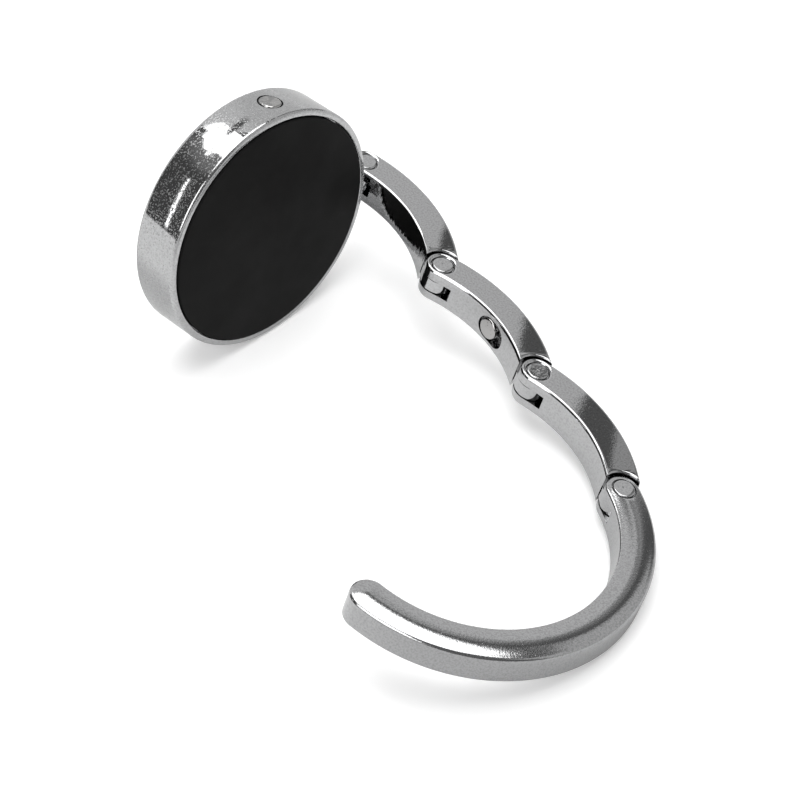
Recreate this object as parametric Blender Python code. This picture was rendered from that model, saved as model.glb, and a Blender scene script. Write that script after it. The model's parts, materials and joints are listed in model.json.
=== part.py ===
"""Folding purse hook: a weighted disc with a rubber pad, and a chain of links that ends in a hook.

Everything is modelled in the closed position, in the frame of the disc, and then opened at its joints.
In that frame X runs out along the swivel post, Z points out of the pad, and the links follow one
another anticlockwise round the rim. Lengths are metres and angles are radians.
"""

import math

import bmesh
import bpy
from mathutils import Matrix, Vector

# Ring of links
PIN_CIRCLE_RADIUS = 0.0210
LINK_ARC = math.radians(60.0)
LINK_COUNT = 3
HOOK_ARC = math.radians(149.0)
BAR_WIDTH = 0.0048
BAR_HEIGHT = 0.0050
LINK_EDGE_RADIUS = 0.0003
HOOK_CROWN = 0.0003
HOOK_INNER_EDGE_RADIUS = 0.00035
HOOK_OUTER_EDGE_RADIUS = 0.0006

# Disc
RING_TO_RIM_GAP = 0.0011
DISC_THICKNESS = 0.0072
FRONT_LIP_WIDTH = 0.00095
FRONT_EDGE_RADIUS = 0.0005
BACK_EDGE_RADIUS = 0.0007
LIP_CHAMFER = 0.00015
RIM_WALL = 0.0032
BACK_WALL = 0.0010

# Pad and what carries it
PAD_THICKNESS = 0.0010
PAD_PROUD = 0.0002
PAD_SIDE_GAP = 0.00015
PAD_CHAMFER = 0.00015
ADHESIVE_THICKNESS = 0.00015
ADHESIVE_INSET = 0.0004
CARRIER_THICKNESS = 0.0005
BOND_GAP = 0.00005

# Swivel
POST_RADIUS = 0.00115
POST_CLEARANCE = 0.00008
COLLAR_RADIUS = 0.0017
COLLAR_THICKNESS = 0.00022
COLLAR_GAP = 0.0001
NECK_WIDTH = 0.0026
WASHER_THICKNESS = 0.0004
WASHER_WIDTH = 0.0004
WASHER_GAP = 0.0001
POST_HEAD_LENGTH = 0.0006
POST_HEAD_OVERHANG = 0.0003
POST_HEAD_CHAMFER = 0.0002

# Hinges
TONGUE_THICKNESS = 0.0018
TONGUE_SIDE_GAP = 0.00015
TONGUE_END_INSET = 0.0001
EAR_CLEARANCE = 0.0003
SLOT_PAST_PIN = 0.0026
PIN_RADIUS = 0.0009
PIN_CLEARANCE = 0.00006
HEAD_RADIUS = 0.0014
HEAD_THICKNESS = 0.0005
HEAD_SUNK = 0.00012
HEAD_CHAMFER = 0.00012
HEAD_SIDE_GAP = 0.0001
COUNTERSINK_RADIUS = 0.0020
COUNTERSINK_DEPTH = 0.0004
OPEN_STOP_ANGLE = math.radians(61.0)
OPEN_STOP_GAP = 0.0001

# Magnets
MAGNET_RADIUS = 0.00165
MAGNET_LENGTH = 0.0018
MAGNET_CHAMFER = 0.0002
MAGNET_PROUD = 0.00012
MAGNET_FLOOR_GAP = 0.00005
RIM_MAGNET_ANGLE = math.radians(86.0)
RIM_MAGNET_SIDE_GAP = 0.00012
LINK_MAGNET_ANGLE = math.radians(90.0)
LINK_MAGNET_LENGTH = 0.0013
POCKET_SIDE_GAP = 0.00012
POCKET_LENGTH = 0.0052
POCKET_SHIFT = 0.0004

# Resting position, as angles from the closed one
DISC_ROLL = math.radians(9.27)
SWIVEL_REST = math.radians(101.31)
HINGE_REST = tuple(math.radians(angle) for angle in (16.53, 65.89, 53.66, 20.75))

# Facets, and the reach of a cutter past what it cuts
DISC_SEGMENTS = 80
PIN_SEGMENTS = 32
EDGE_STEPS = 2
CROWN_STEPS = 3
STEP_ANGLE = math.radians(5.0)
CAP_STEPS = 10
OVERRUN = 0.001
SHARP_ANGLE = math.radians(32.0)

# Sizes that follow from those above
HALF_WIDTH = BAR_WIDTH / 2
HALF_HEIGHT = BAR_HEIGHT / 2
RING_INNER_RADIUS = PIN_CIRCLE_RADIUS - HALF_WIDTH
DISC_RADIUS = RING_INNER_RADIUS - RING_TO_RIM_GAP
HALF_THICKNESS = DISC_THICKNESS / 2
RING_OFFSET = HALF_THICKNESS - HALF_HEIGHT
CAVITY_RADIUS = DISC_RADIUS - RIM_WALL
RECESS_RADIUS = DISC_RADIUS - FRONT_LIP_WIDTH
PAD_TOP = HALF_THICKNESS + PAD_PROUD
PAD_BOTTOM = PAD_TOP - PAD_THICKNESS
ADHESIVE_TOP = PAD_BOTTOM - BOND_GAP
ADHESIVE_BOTTOM = ADHESIVE_TOP - ADHESIVE_THICKNESS
CARRIER_TOP = ADHESIVE_BOTTOM - BOND_GAP
CARRIER_BOTTOM = CARRIER_TOP - CARRIER_THICKNESS
LEDGE = CARRIER_BOTTOM - BOND_GAP
CAVITY_FLOOR = BACK_WALL - HALF_THICKNESS
HALF_TONGUE = TONGUE_THICKNESS / 2
HALF_SLOT = HALF_TONGUE + TONGUE_SIDE_GAP
TONGUE_RADIUS = HALF_WIDTH - TONGUE_END_INSET
PIN_BORE_RADIUS = PIN_RADIUS + PIN_CLEARANCE
HEAD_TOP = HALF_HEIGHT - HEAD_SUNK
HEAD_BOTTOM = HEAD_TOP - HEAD_THICKNESS
HEAD_SEAT = HEAD_BOTTOM - PIN_CLEARANCE
HEAD_SEAT_RADIUS = HEAD_RADIUS + HEAD_SIDE_GAP
POST_BORE_RADIUS = POST_RADIUS + POST_CLEARANCE
WASHER_OUTER_RADIUS = POST_BORE_RADIUS + WASHER_WIDTH
WASHER_TOP = CAVITY_RADIUS - WASHER_GAP
WASHER_BOTTOM = WASHER_TOP - WASHER_THICKNESS
POST_HEAD_TOP = WASHER_BOTTOM - WASHER_GAP
POST_HEAD_BOTTOM = POST_HEAD_TOP - POST_HEAD_LENGTH
COLLAR_BOTTOM = DISC_RADIUS + COLLAR_GAP
COLLAR_TOP = COLLAR_BOTTOM + COLLAR_THICKNESS

ALONG_X = Matrix.Rotation(math.pi / 2, 4, "Y")


def clear_scene():
    """Remove whatever objects the file holds."""
    for thing in list(bpy.data.objects):
        bpy.data.objects.remove(thing, do_unlink=True)


def material(name, colour, roughness, metallic):
    """A Principled material for one piece."""
    made = bpy.data.materials.new(name)
    made.use_nodes = True
    shader = made.node_tree.nodes["Principled BSDF"]
    shader.inputs["Base Color"].default_value = (*colour, 1.0)
    shader.inputs["Roughness"].default_value = roughness
    shader.inputs["Metallic"].default_value = metallic
    return made


def chrome(name):
    """Polished plating."""
    return material(name, (0.62, 0.62, 0.63), 0.12, 1.0)


def axis_frame(name, parent, place):
    """An empty that stands on a joint's axis."""
    empty = bpy.data.objects.new(name, None)
    empty.empty_display_size = HALF_WIDTH
    bpy.context.scene.collection.objects.link(empty)
    empty.parent = parent
    empty.matrix_local = place
    return empty


def mesh_from(name, build):
    """A mesh that the function build fills through bmesh, with its faces turned outwards."""
    made = bmesh.new()
    build(made)
    bmesh.ops.recalc_face_normals(made, faces=made.faces)
    mesh = bpy.data.meshes.new(name)
    made.to_mesh(mesh)
    made.free()
    return mesh


def solid(name, mesh, parent=None, place=Matrix.Identity(4)):
    """An object that shows a mesh, placed under its parent."""
    thing = bpy.data.objects.new(name, mesh)
    bpy.context.scene.collection.objects.link(thing)
    thing.parent = parent
    thing.matrix_local = place
    return thing


def turned_mesh(name, profile, segments, place=Matrix.Identity(4)):
    """A solid turned about Z from points of radius and height that start and end on the axis."""

    def build(made):
        rings = []
        for radius, height in profile:
            if radius == 0:
                rings.append([made.verts.new((0, 0, height))])
                continue
            ring = []
            for step in range(segments):
                angle = 2 * math.pi * step / segments
                ring.append(made.verts.new((radius * math.cos(angle), radius * math.sin(angle), height)))
            rings.append(ring)
        for lower, upper in zip(rings, rings[1:]):
            for step in range(segments):
                following = (step + 1) % segments
                corners = [lower[step % len(lower)], lower[following % len(lower)]]
                corners += [upper[following % len(upper)], upper[step % len(upper)]]
                made.faces.new(list(dict.fromkeys(corners)))
        made.transform(place)

    return mesh_from(name, build)


def ring_mesh(name, inner, outer, low, high, segments, place=Matrix.Identity(4)):
    """A flat ring about Z."""

    def build(made):
        corners = ((inner, low), (outer, low), (outer, high), (inner, high))
        rings = []
        for radius, height in corners:
            ring = []
            for step in range(segments):
                angle = 2 * math.pi * step / segments
                ring.append(made.verts.new((radius * math.cos(angle), radius * math.sin(angle), height)))
            rings.append(ring)
        for index, ring in enumerate(rings):
            other = rings[(index + 1) % len(rings)]
            for step in range(segments):
                following = (step + 1) % segments
                made.faces.new((ring[step], ring[following], other[following], other[step]))
        made.transform(place)

    return mesh_from(name, build)


def rod_profile(radius, low, high, chamfer=0.0):
    """Points of a plain rod, with a chamfer at both ends where one is given."""
    if chamfer == 0:
        return [(0, low), (radius, low), (radius, high), (0, high)]
    inner = radius - chamfer
    lower = [(0, low), (inner, low), (radius, low + chamfer)]
    return lower + [(radius, high - chamfer), (inner, high), (0, high)]


def prism_mesh(name, outline, low, high, place=Matrix.Identity(4)):
    """A solid with one outline of points in X and Y between two heights."""

    def build(made):
        floor = [made.verts.new((x, y, low)) for x, y in outline]
        roof = [made.verts.new((x, y, high)) for x, y in outline]
        made.faces.new(floor)
        made.faces.new(roof)
        for index in range(len(outline)):
            following = (index + 1) % len(outline)
            made.faces.new((floor[index], floor[following], roof[following], roof[index]))
        made.transform(place)

    return mesh_from(name, build)


def rectangle(low_x, low_y, high_x, high_y):
    """The outline of a rectangle."""
    return [(low_x, low_y), (high_x, low_y), (high_x, high_y), (low_x, high_y)]


def half_section(half_width, half_height, edge_radius, crown=0.0):
    """One side of a bar's section, from beside the middle of its top to beside the middle of its bottom.

    A crown is how much lower the face lies at its edge than in its middle.
    """
    flat = half_width - edge_radius
    side = []
    if crown > 0:
        for step in range(1, CROWN_STEPS):
            share = step / CROWN_STEPS
            side.append((flat * share, half_height - crown * share ** 2))
    for step in range(EDGE_STEPS + 1):
        angle = math.pi / 2 * (1 - step / EDGE_STEPS)
        height = half_height - crown - edge_radius + edge_radius * math.sin(angle)
        side.append((flat + edge_radius * math.cos(angle), height))
    return side + [(across, -height) for across, height in reversed(side)]


def bar_mesh(name, half_height, outer, inner, start, end, round_start, round_end):
    """A bar bent round the ring's centre, which lies at minus the pin circle's radius along X.

    The sides away from the centre and next to it are given as half sections. A round end swings the one
    into the other through half a turn about the bar's centre line.
    """
    steps = max(2, round((end - start) / STEP_ANGLE))
    count = len(outer)

    def place_at(angle, across, height):
        radius = PIN_CIRCLE_RADIUS + across
        return (radius * math.cos(angle) - PIN_CIRCLE_RADIUS, radius * math.sin(angle), height)

    def round_off(made, loop, angle, turn):
        """Close an end of the bar with a half round that turns one way or the other."""
        middle = Vector(place_at(angle, 0, 0))
        top, bottom = loop[0], loop[count + 1]
        before = loop[1:count + 1]
        for step in range(1, CAP_STEPS + 1):
            share = step / CAP_STEPS
            swing = angle + turn * math.pi * share
            after = []
            for (far, far_height), (near, near_height) in zip(outer, inner):
                across = far + (near - far) * share
                height = far_height + (near_height - far_height) * share
                point = (middle.x + across * math.cos(swing), middle.y + across * math.sin(swing), height)
                after.append(point)
            if step == CAP_STEPS:
                after = list(reversed(loop[count + 2:]))
            else:
                after = [made.verts.new(point) for point in after]
            made.faces.new((top, before[0], after[0]))
            made.faces.new((bottom, after[-1], before[-1]))
            for index in range(count - 1):
                made.faces.new((before[index], before[index + 1], after[index + 1], after[index]))
            before = after

    def build(made):
        loops = []
        for step in range(steps + 1):
            angle = start + (end - start) * step / steps
            points = [place_at(angle, 0, half_height)]
            points += [place_at(angle, across, height) for across, height in outer]
            points.append(place_at(angle, 0, -half_height))
            points += [place_at(angle, -across, height) for across, height in reversed(inner)]
            loops.append([made.verts.new(point) for point in points])
        for loop, other in zip(loops, loops[1:]):
            for index in range(len(loop)):
                following = (index + 1) % len(loop)
                made.faces.new((loop[index], loop[following], other[following], other[index]))
        if round_start:
            round_off(made, loops[0], start, -1)
        else:
            made.faces.new(loops[0])
        if round_end:
            round_off(made, loops[-1], end, 1)
        else:
            made.faces.new(loops[-1])

    return mesh_from(name, build)


def combined(name, base, steps):
    """Join and cut a mesh with others, in order, and drop the tools used for it."""
    made = solid(name, base)
    tools = []
    for number, (operation, mesh) in enumerate(steps):
        tool = solid(f"{name}_tool_{number}", mesh)
        tool.hide_render = True
        tool.display_type = "WIRE"
        tools.append(tool)
        step = made.modifiers.new(f"step_{number}", "BOOLEAN")
        step.operation = operation
        step.solver = "EXACT"
        step.object = tool
    bpy.context.view_layer.update()
    seen = made.evaluated_get(bpy.context.evaluated_depsgraph_get())
    result = bpy.data.meshes.new_from_object(seen)
    result.name = name
    for thing in [made, *tools]:
        bpy.data.objects.remove(thing, do_unlink=True)
    return result


def finish(thing, look):
    """Give a piece its material and smooth shading."""
    thing.data.materials.clear()
    thing.data.materials.append(look)
    thing.data.shade_smooth()
    thing.data.set_sharp_from_angle(angle=SHARP_ANGLE)
    return thing


def round_corner(centre_radius, centre_height, size, first, last):
    """Points of a quarter-round edge on a turned profile."""
    points = []
    for step in range(EDGE_STEPS + 1):
        angle = first + (last - first) * step / EDGE_STEPS
        points.append((centre_radius + size * math.cos(angle), centre_height + size * math.sin(angle)))
    return points


def disc_case(parent):
    """The cast disc: a rim and a back in one, hollow behind the pad, with a bore for the post."""
    quarter = math.pi / 2
    back = round_corner(DISC_RADIUS - BACK_EDGE_RADIUS, BACK_EDGE_RADIUS - HALF_THICKNESS,
                        BACK_EDGE_RADIUS, -quarter, 0)
    front = round_corner(DISC_RADIUS - FRONT_EDGE_RADIUS, HALF_THICKNESS - FRONT_EDGE_RADIUS,
                         FRONT_EDGE_RADIUS, 0, quarter)
    inside = [(RECESS_RADIUS + LIP_CHAMFER, HALF_THICKNESS), (RECESS_RADIUS, HALF_THICKNESS - LIP_CHAMFER)]
    inside += [(RECESS_RADIUS, LEDGE), (CAVITY_RADIUS, LEDGE)]
    inside += [(CAVITY_RADIUS, CAVITY_FLOOR), (0, CAVITY_FLOOR)]
    body = turned_mesh("disc_case", [(0, -HALF_THICKNESS)] + back + front + inside, DISC_SEGMENTS)
    bore = rod_profile(POST_BORE_RADIUS, CAVITY_RADIUS - OVERRUN, DISC_RADIUS + OVERRUN)
    seat_floor = DISC_RADIUS + MAGNET_PROUD - MAGNET_LENGTH - MAGNET_FLOOR_GAP
    seat = rod_profile(MAGNET_RADIUS + RIM_MAGNET_SIDE_GAP, seat_floor, DISC_RADIUS + OVERRUN)
    at_magnet = Matrix.Rotation(RIM_MAGNET_ANGLE, 4, "Z") @ ALONG_X
    mesh = combined("disc_case", body, [
        ("DIFFERENCE", turned_mesh("post_bore", bore, PIN_SEGMENTS, ALONG_X)),
        ("DIFFERENCE", turned_mesh("magnet_seat", seat, PIN_SEGMENTS, at_magnet)),
    ])
    finish(solid("disc_case", mesh, parent), chrome("case_chrome"))


def pad_pieces(parent):
    """The steel carrier in the recess, the adhesive film on it, and the rubber pad."""
    fit_radius = RECESS_RADIUS - PAD_SIDE_GAP
    carrier = turned_mesh("pad_carrier", rod_profile(fit_radius, CARRIER_BOTTOM, CARRIER_TOP), DISC_SEGMENTS)
    finish(solid("pad_carrier", carrier, parent), material("carrier_steel", (0.45, 0.45, 0.46), 0.4, 1.0))
    film = rod_profile(fit_radius - ADHESIVE_INSET, ADHESIVE_BOTTOM, ADHESIVE_TOP)
    adhesive = turned_mesh("pad_adhesive", film, DISC_SEGMENTS)
    finish(solid("pad_adhesive", adhesive, parent), material("adhesive_film", (0.75, 0.72, 0.6), 0.6, 0.0))
    pad = turned_mesh("rubber_pad", rod_profile(fit_radius, PAD_BOTTOM, PAD_TOP, PAD_CHAMFER), DISC_SEGMENTS)
    finish(solid("rubber_pad", pad, parent), material("pad_rubber", (0.012, 0.012, 0.012), 0.85, 0.0))


def rim_magnet(parent):
    """The plug magnet let into the rim."""
    top = DISC_RADIUS + MAGNET_PROUD
    profile = rod_profile(MAGNET_RADIUS, top - MAGNET_LENGTH, top, MAGNET_CHAMFER)
    place = Matrix.Rotation(RIM_MAGNET_ANGLE, 4, "Z") @ ALONG_X
    mesh = turned_mesh("rim_magnet", profile, PIN_SEGMENTS, place)
    finish(solid("rim_magnet", mesh, parent), material("rim_magnet_nickel", (0.55, 0.54, 0.52), 0.3, 1.0))


def swivel_pieces(parent):
    """The lug, whose post turns in the rim and whose eye takes the first rivet, and its washer."""
    head = POST_RADIUS + POST_HEAD_OVERHANG
    post = [(0, POST_HEAD_BOTTOM), (head - POST_HEAD_CHAMFER, POST_HEAD_BOTTOM)]
    post += [(head, POST_HEAD_BOTTOM + POST_HEAD_CHAMFER), (head, POST_HEAD_TOP)]
    post += [(POST_RADIUS, POST_HEAD_TOP)]
    post += [(POST_RADIUS, COLLAR_BOTTOM), (COLLAR_RADIUS, COLLAR_BOTTOM), (COLLAR_RADIUS, COLLAR_TOP)]
    post += [(0, COLLAR_TOP)]
    eye_place = Matrix.Translation((PIN_CIRCLE_RADIUS, 0, RING_OFFSET))
    inside_collar = (COLLAR_BOTTOM + COLLAR_TOP) / 2 - PIN_CIRCLE_RADIUS
    half_neck = NECK_WIDTH / 2
    outline = [(inside_collar, half_neck), (inside_collar, -half_neck)]
    meeting = math.pi - math.asin(half_neck / TONGUE_RADIUS)
    for step in range(PIN_SEGMENTS + 1):
        angle = meeting * (2 * step / PIN_SEGMENTS - 1)
        outline.append((TONGUE_RADIUS * math.cos(angle), TONGUE_RADIUS * math.sin(angle)))
    hole = rod_profile(PIN_BORE_RADIUS, -HALF_HEIGHT, HALF_HEIGHT)
    mesh = combined("swivel_lug", turned_mesh("post", post, PIN_SEGMENTS, ALONG_X), [
        ("UNION", prism_mesh("eye", outline, -HALF_TONGUE, HALF_TONGUE, eye_place)),
        ("DIFFERENCE", turned_mesh("eye_bore", hole, PIN_SEGMENTS, eye_place)),
    ])
    finish(solid("swivel_lug", mesh, parent), chrome("lug_chrome"))
    washer = ring_mesh("swivel_washer", POST_BORE_RADIUS, WASHER_OUTER_RADIUS, WASHER_BOTTOM, WASHER_TOP,
                       PIN_SEGMENTS, ALONG_X)
    finish(solid("swivel_washer", washer, parent), material("washer_steel", (0.5, 0.5, 0.5), 0.35, 1.0))


def hinge_cutter():
    """What a hinge takes out of a fork's ears: the shank's bore, and a countersunk seat on each face."""
    upper = [(PIN_BORE_RADIUS, HEAD_SEAT), (HEAD_SEAT_RADIUS, HEAD_SEAT)]
    upper += [(HEAD_SEAT_RADIUS, HALF_HEIGHT - COUNTERSINK_DEPTH), (COUNTERSINK_RADIUS, HALF_HEIGHT)]
    upper += [(COUNTERSINK_RADIUS, HALF_HEIGHT + OVERRUN), (0, HALF_HEIGHT + OVERRUN)]
    lower = [(radius, -height) for radius, height in reversed(upper)]
    return turned_mesh("hinge_cutter", lower + upper, PIN_SEGMENTS)


def slot_cutter():
    """The slot that lets a tongue into a fork, open on both sides of the bar."""
    outline = rectangle(-BAR_WIDTH, -BAR_WIDTH, BAR_WIDTH, SLOT_PAST_PIN)
    return prism_mesh("slot_cutter", outline, -HALF_SLOT, HALF_SLOT)


def link_mesh(name, extra_steps=()):
    """A link with a fork at the origin and a tongue at the next pin."""
    next_pin = next_pin_place()
    side = half_section(HALF_WIDTH, HALF_HEIGHT, LINK_EDGE_RADIUS)
    bar = bar_mesh(name, HALF_HEIGHT, side, side, 0, LINK_ARC, True, False)
    round_end = rod_profile(HALF_WIDTH + EAR_CLEARANCE, -BAR_HEIGHT, BAR_HEIGHT)
    stop_side = HALF_WIDTH + OPEN_STOP_GAP
    opened = next_pin @ Matrix.Rotation(-OPEN_STOP_ANGLE, 4, "Z")
    outline = rectangle(-stop_side, 0, stop_side, BAR_WIDTH)
    stop = prism_mesh("stop", outline, -BAR_HEIGHT, BAR_HEIGHT, opened)
    tongue_start = LINK_ARC - 2 * HALF_WIDTH / PIN_CIRCLE_RADIUS
    flat = [(TONGUE_RADIUS, HALF_TONGUE), (TONGUE_RADIUS, -HALF_TONGUE)]
    tongue = bar_mesh("tongue", HALF_TONGUE, flat, flat, tongue_start, LINK_ARC, False, True)
    hole = rod_profile(PIN_BORE_RADIUS, -BAR_HEIGHT, BAR_HEIGHT)
    return combined(name, bar, [
        ("DIFFERENCE", turned_mesh("ear_room", round_end, PIN_SEGMENTS, next_pin)),
        ("DIFFERENCE", stop),
        ("UNION", tongue),
        ("DIFFERENCE", slot_cutter()),
        ("DIFFERENCE", hinge_cutter()),
        ("DIFFERENCE", turned_mesh("tongue_bore", hole, PIN_SEGMENTS, next_pin)),
        *extra_steps,
    ])


def next_pin_place():
    """Where the next pin's frame stands in a link's frame, with the links closed."""
    x = PIN_CIRCLE_RADIUS * (math.cos(LINK_ARC) - 1)
    y = PIN_CIRCLE_RADIUS * math.sin(LINK_ARC)
    return Matrix.Translation((x, y, 0)) @ Matrix.Rotation(LINK_ARC, 4, "Z")


def magnet_place(angle_in_link):
    """A frame at the ring's centre whose Z axis points out through the middle of the magnet."""
    turn = Matrix.Rotation(angle_in_link, 4, "Z")
    return Matrix.Translation((-PIN_CIRCLE_RADIUS, 0, 0)) @ turn @ ALONG_X


def pocket_mesh(place):
    """The long round-ended pocket in a link's inner face, a little off centre along the link."""
    end_radius = MAGNET_RADIUS + POCKET_SIDE_GAP
    reach = POCKET_LENGTH / 2 - end_radius
    floor = RING_INNER_RADIUS - MAGNET_PROUD + LINK_MAGNET_LENGTH + MAGNET_FLOOR_GAP
    outline = []
    for step in range(PIN_SEGMENTS):
        angle = 2 * math.pi * (step + 0.5) / PIN_SEGMENTS
        along = POCKET_SHIFT + end_radius * math.sin(angle) + math.copysign(reach, math.sin(angle))
        outline.append((end_radius * math.cos(angle), along))
    return prism_mesh("pocket", outline, RING_INNER_RADIUS - OVERRUN, floor, place)


def hinge_rivet(number, parent):
    """A rivet with a flat head sunk in each ear."""
    upper = [(PIN_RADIUS, HEAD_BOTTOM), (HEAD_RADIUS, HEAD_BOTTOM), (HEAD_RADIUS, HEAD_TOP - HEAD_CHAMFER)]
    upper += [(HEAD_RADIUS - HEAD_CHAMFER, HEAD_TOP), (0, HEAD_TOP)]
    lower = [(radius, -height) for radius, height in reversed(upper)]
    mesh = turned_mesh(f"hinge_rivet_{number}", lower + upper, PIN_SEGMENTS)
    finish(solid(f"hinge_rivet_{number}", mesh, parent), chrome(f"rivet_{number}_chrome"))


def hook_piece(parent):
    """The last piece of the chain: a fork, a long round bend and a rounded tip."""
    outer = half_section(HALF_WIDTH, HALF_HEIGHT, HOOK_OUTER_EDGE_RADIUS, HOOK_CROWN)
    inner = half_section(HALF_WIDTH, HALF_HEIGHT, HOOK_INNER_EDGE_RADIUS, HOOK_CROWN)
    bar = bar_mesh("hook", HALF_HEIGHT, outer, inner, 0, HOOK_ARC, True, True)
    mesh = combined("hook", bar, [("DIFFERENCE", slot_cutter()), ("DIFFERENCE", hinge_cutter())])
    finish(solid("hook", mesh, parent), chrome("hook_chrome"))


def link_magnet(parent, place):
    """The magnet in the second link, which meets the one in the rim."""
    low = RING_INNER_RADIUS - MAGNET_PROUD
    profile = rod_profile(MAGNET_RADIUS, low, low + LINK_MAGNET_LENGTH, MAGNET_CHAMFER)
    mesh = turned_mesh("link_magnet", profile, PIN_SEGMENTS, place)
    finish(solid("link_magnet", mesh, parent), material("link_magnet_nickel", (0.55, 0.54, 0.52), 0.3, 1.0))


def chain(swivel):
    """The links and the hook, each in a frame on its own pin and opened by its resting angle."""
    magnet_link = 2
    place = magnet_place(LINK_MAGNET_ANGLE - LINK_ARC * (magnet_link - 1))
    frame = swivel
    step = Matrix.Translation((PIN_CIRCLE_RADIUS, 0, RING_OFFSET))
    for number in range(1, LINK_COUNT + 2):
        opened = Matrix.Rotation(-HINGE_REST[number - 1], 4, "Z")
        frame = axis_frame(f"hinge_axis_{number}", frame, step @ opened)
        step = next_pin_place()
        hinge_rivet(number, frame)
        if number > LINK_COUNT:
            hook_piece(frame)
            continue
        extra = [("DIFFERENCE", pocket_mesh(place))] if number == magnet_link else []
        name = f"link_{number}"
        finish(solid(name, link_mesh(name, extra), frame), chrome(f"{name}_chrome"))
        if number == magnet_link:
            link_magnet(frame, place)


def stand_on_origin(root):
    """Move everything so that the middle of its box's underside is the origin."""
    bpy.context.view_layer.update()
    points = []
    for thing in bpy.context.scene.objects:
        if thing.type == "MESH":
            points += [thing.matrix_world @ vertex.co for vertex in thing.data.vertices]
    low = Vector([min(point[axis] for point in points) for axis in range(3)])
    high = Vector([max(point[axis] for point in points) for axis in range(3)])
    middle = (low + high) / 2
    root.location = (root.location.x - middle.x, root.location.y - middle.y, root.location.z - low.z)
    bpy.context.view_layer.update()


def main():
    """Build the purse hook."""
    clear_scene()
    upright = Matrix.Rotation(DISC_ROLL, 4, "Y") @ Matrix.Rotation(math.pi / 2, 4, "X")
    root = axis_frame("disc_centre", None, upright)
    disc_case(root)
    pad_pieces(root)
    rim_magnet(root)
    swivel = axis_frame("swivel_axis", root, Matrix.Rotation(SWIVEL_REST, 4, "X"))
    swivel_pieces(swivel)
    chain(swivel)
    stand_on_origin(root)


main()
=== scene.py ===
"""Looks of a folding purse hook: a chromed disc with a rubber pad, and a hinged chain that ends in a hook.

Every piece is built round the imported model, in its frame and in metres. The sizes and finishes that a user
would change stand in the property groups, and each piece or group of like pieces has an operator.
"""

import functools
import json
import math

import bmesh
import bpy
from bpy.props import FloatProperty, FloatVectorProperty, IntProperty, PointerProperty
from bpy.types import Operator, Panel, PropertyGroup
from mathutils import Matrix, Vector


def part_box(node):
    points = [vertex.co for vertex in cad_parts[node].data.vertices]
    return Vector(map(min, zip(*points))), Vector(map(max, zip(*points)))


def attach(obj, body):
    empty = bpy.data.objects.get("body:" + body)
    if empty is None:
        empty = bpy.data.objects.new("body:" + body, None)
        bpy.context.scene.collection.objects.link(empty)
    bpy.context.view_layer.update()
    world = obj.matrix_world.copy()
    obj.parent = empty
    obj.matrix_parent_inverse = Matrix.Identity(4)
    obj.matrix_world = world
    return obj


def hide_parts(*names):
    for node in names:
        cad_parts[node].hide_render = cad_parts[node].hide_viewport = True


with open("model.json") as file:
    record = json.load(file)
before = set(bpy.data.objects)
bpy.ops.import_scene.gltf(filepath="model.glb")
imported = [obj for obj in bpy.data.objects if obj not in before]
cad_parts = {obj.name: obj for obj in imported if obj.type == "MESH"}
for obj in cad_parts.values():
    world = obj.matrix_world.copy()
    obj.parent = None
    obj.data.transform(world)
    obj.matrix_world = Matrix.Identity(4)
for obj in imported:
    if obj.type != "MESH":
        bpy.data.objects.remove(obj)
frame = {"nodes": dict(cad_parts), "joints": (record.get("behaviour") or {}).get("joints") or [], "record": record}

bl_info = {
    "name": "Purse Hook",
    "version": (1, 0, 0),
    "blender": (4, 5, 0),
    "location": "View3D > Sidebar > Purse Hook",
    "description": "Builds a folding purse hook with its finishes and studio",
    "category": "Object",
}

OWN_PLACE = "own_place"
HINGES = ("lug_hinge", "upper_hinge", "middle_hinge", "hook_hinge")
HINGE_BODIES = ("link_one", "link_two", "link_three", "hook")
QUARTER = math.pi / 2
ALONG_X = Matrix.Rotation(QUARTER, 4, "Y")

# Waves and pits of the finishes, each with its size and its height in metres
WAVE = (0.003, 0.000010)
PIT = (0.0002, 0.0000012)
RIM_WAVE = (0.002, 0.000006)
RIM_PIT = (0.00025, 0.0000014)
LINK_WAVE = (0.003, 0.0000015)
LINK_PIT = (0.0002, 0.0000006)
HOOK_PIT = (0.00025, 0.0000090)
MAGNET_PIT = (0.0004, 0.000010)
PLUG_PIT = (0.0007, 0.000140)
RUBBER_WAVE = (0.004, 0.00002)
RUBBER_GRAIN = (0.00018, 0.000010)
STEEL_WAVE = (0.003, 0.000004)
STEEL_PIT = (0.00012, 0.000006)
FILM_WAVE = (0.0015, 0.00003)
FILM_PIT = (0.0003, 0.0000003)
PAPER_WAVE = (0.02, 0.00002)
PAPER_PIT = (0.0006, 0.0000003)

# Smears, specks and grain of the finishes
SMEAR_SCALE = 150
SPECK_EDGE = 0.06
LEAST_ROUGHNESS = 0.015
GRAIN_SCALE = 4000
GRAIN_RAISE = 0.1
PLATING_GRAIN = 1.6
PLATING_HAZE = {"Speck Level": 0.25, "Pinpricks": 0.3}
RIM_HAZE = {"Speck Level": 0.09, "Pinpricks": 0.08, "Speck Roughness": 0.34}
MAGNET_HAZE = {"Roughness": 0.16, "Smear": 0.2, "Pinpricks": 1.0}
MAGNET_STAINS = {"Speck Scale": 3000.0, "Speck Level": 0.2}
PLUG_STAINS = {"Speck Scale": 1300.0, "Speck Level": 0.05}
RUBBER_HAZE = {"Roughness": 0.62, "Smear": 0.3}
STEEL_HAZE = {"Roughness": 0.38, "Smear": 0.4, "Pinpricks": 0.6, "Speck Scale": 900.0}
FILM_HAZE = {"Roughness": 0.5, "Smear": 0.5, "Pinpricks": 1.0, "Speck Scale": 700.0, "Speck Level": 0.02}
PAPER_HAZE = {"Roughness": 0.9, "Speck Scale": 300.0}
RUBBER_SHINE = 0.13
ROLLING = (0.05, 1, 1)

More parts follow.
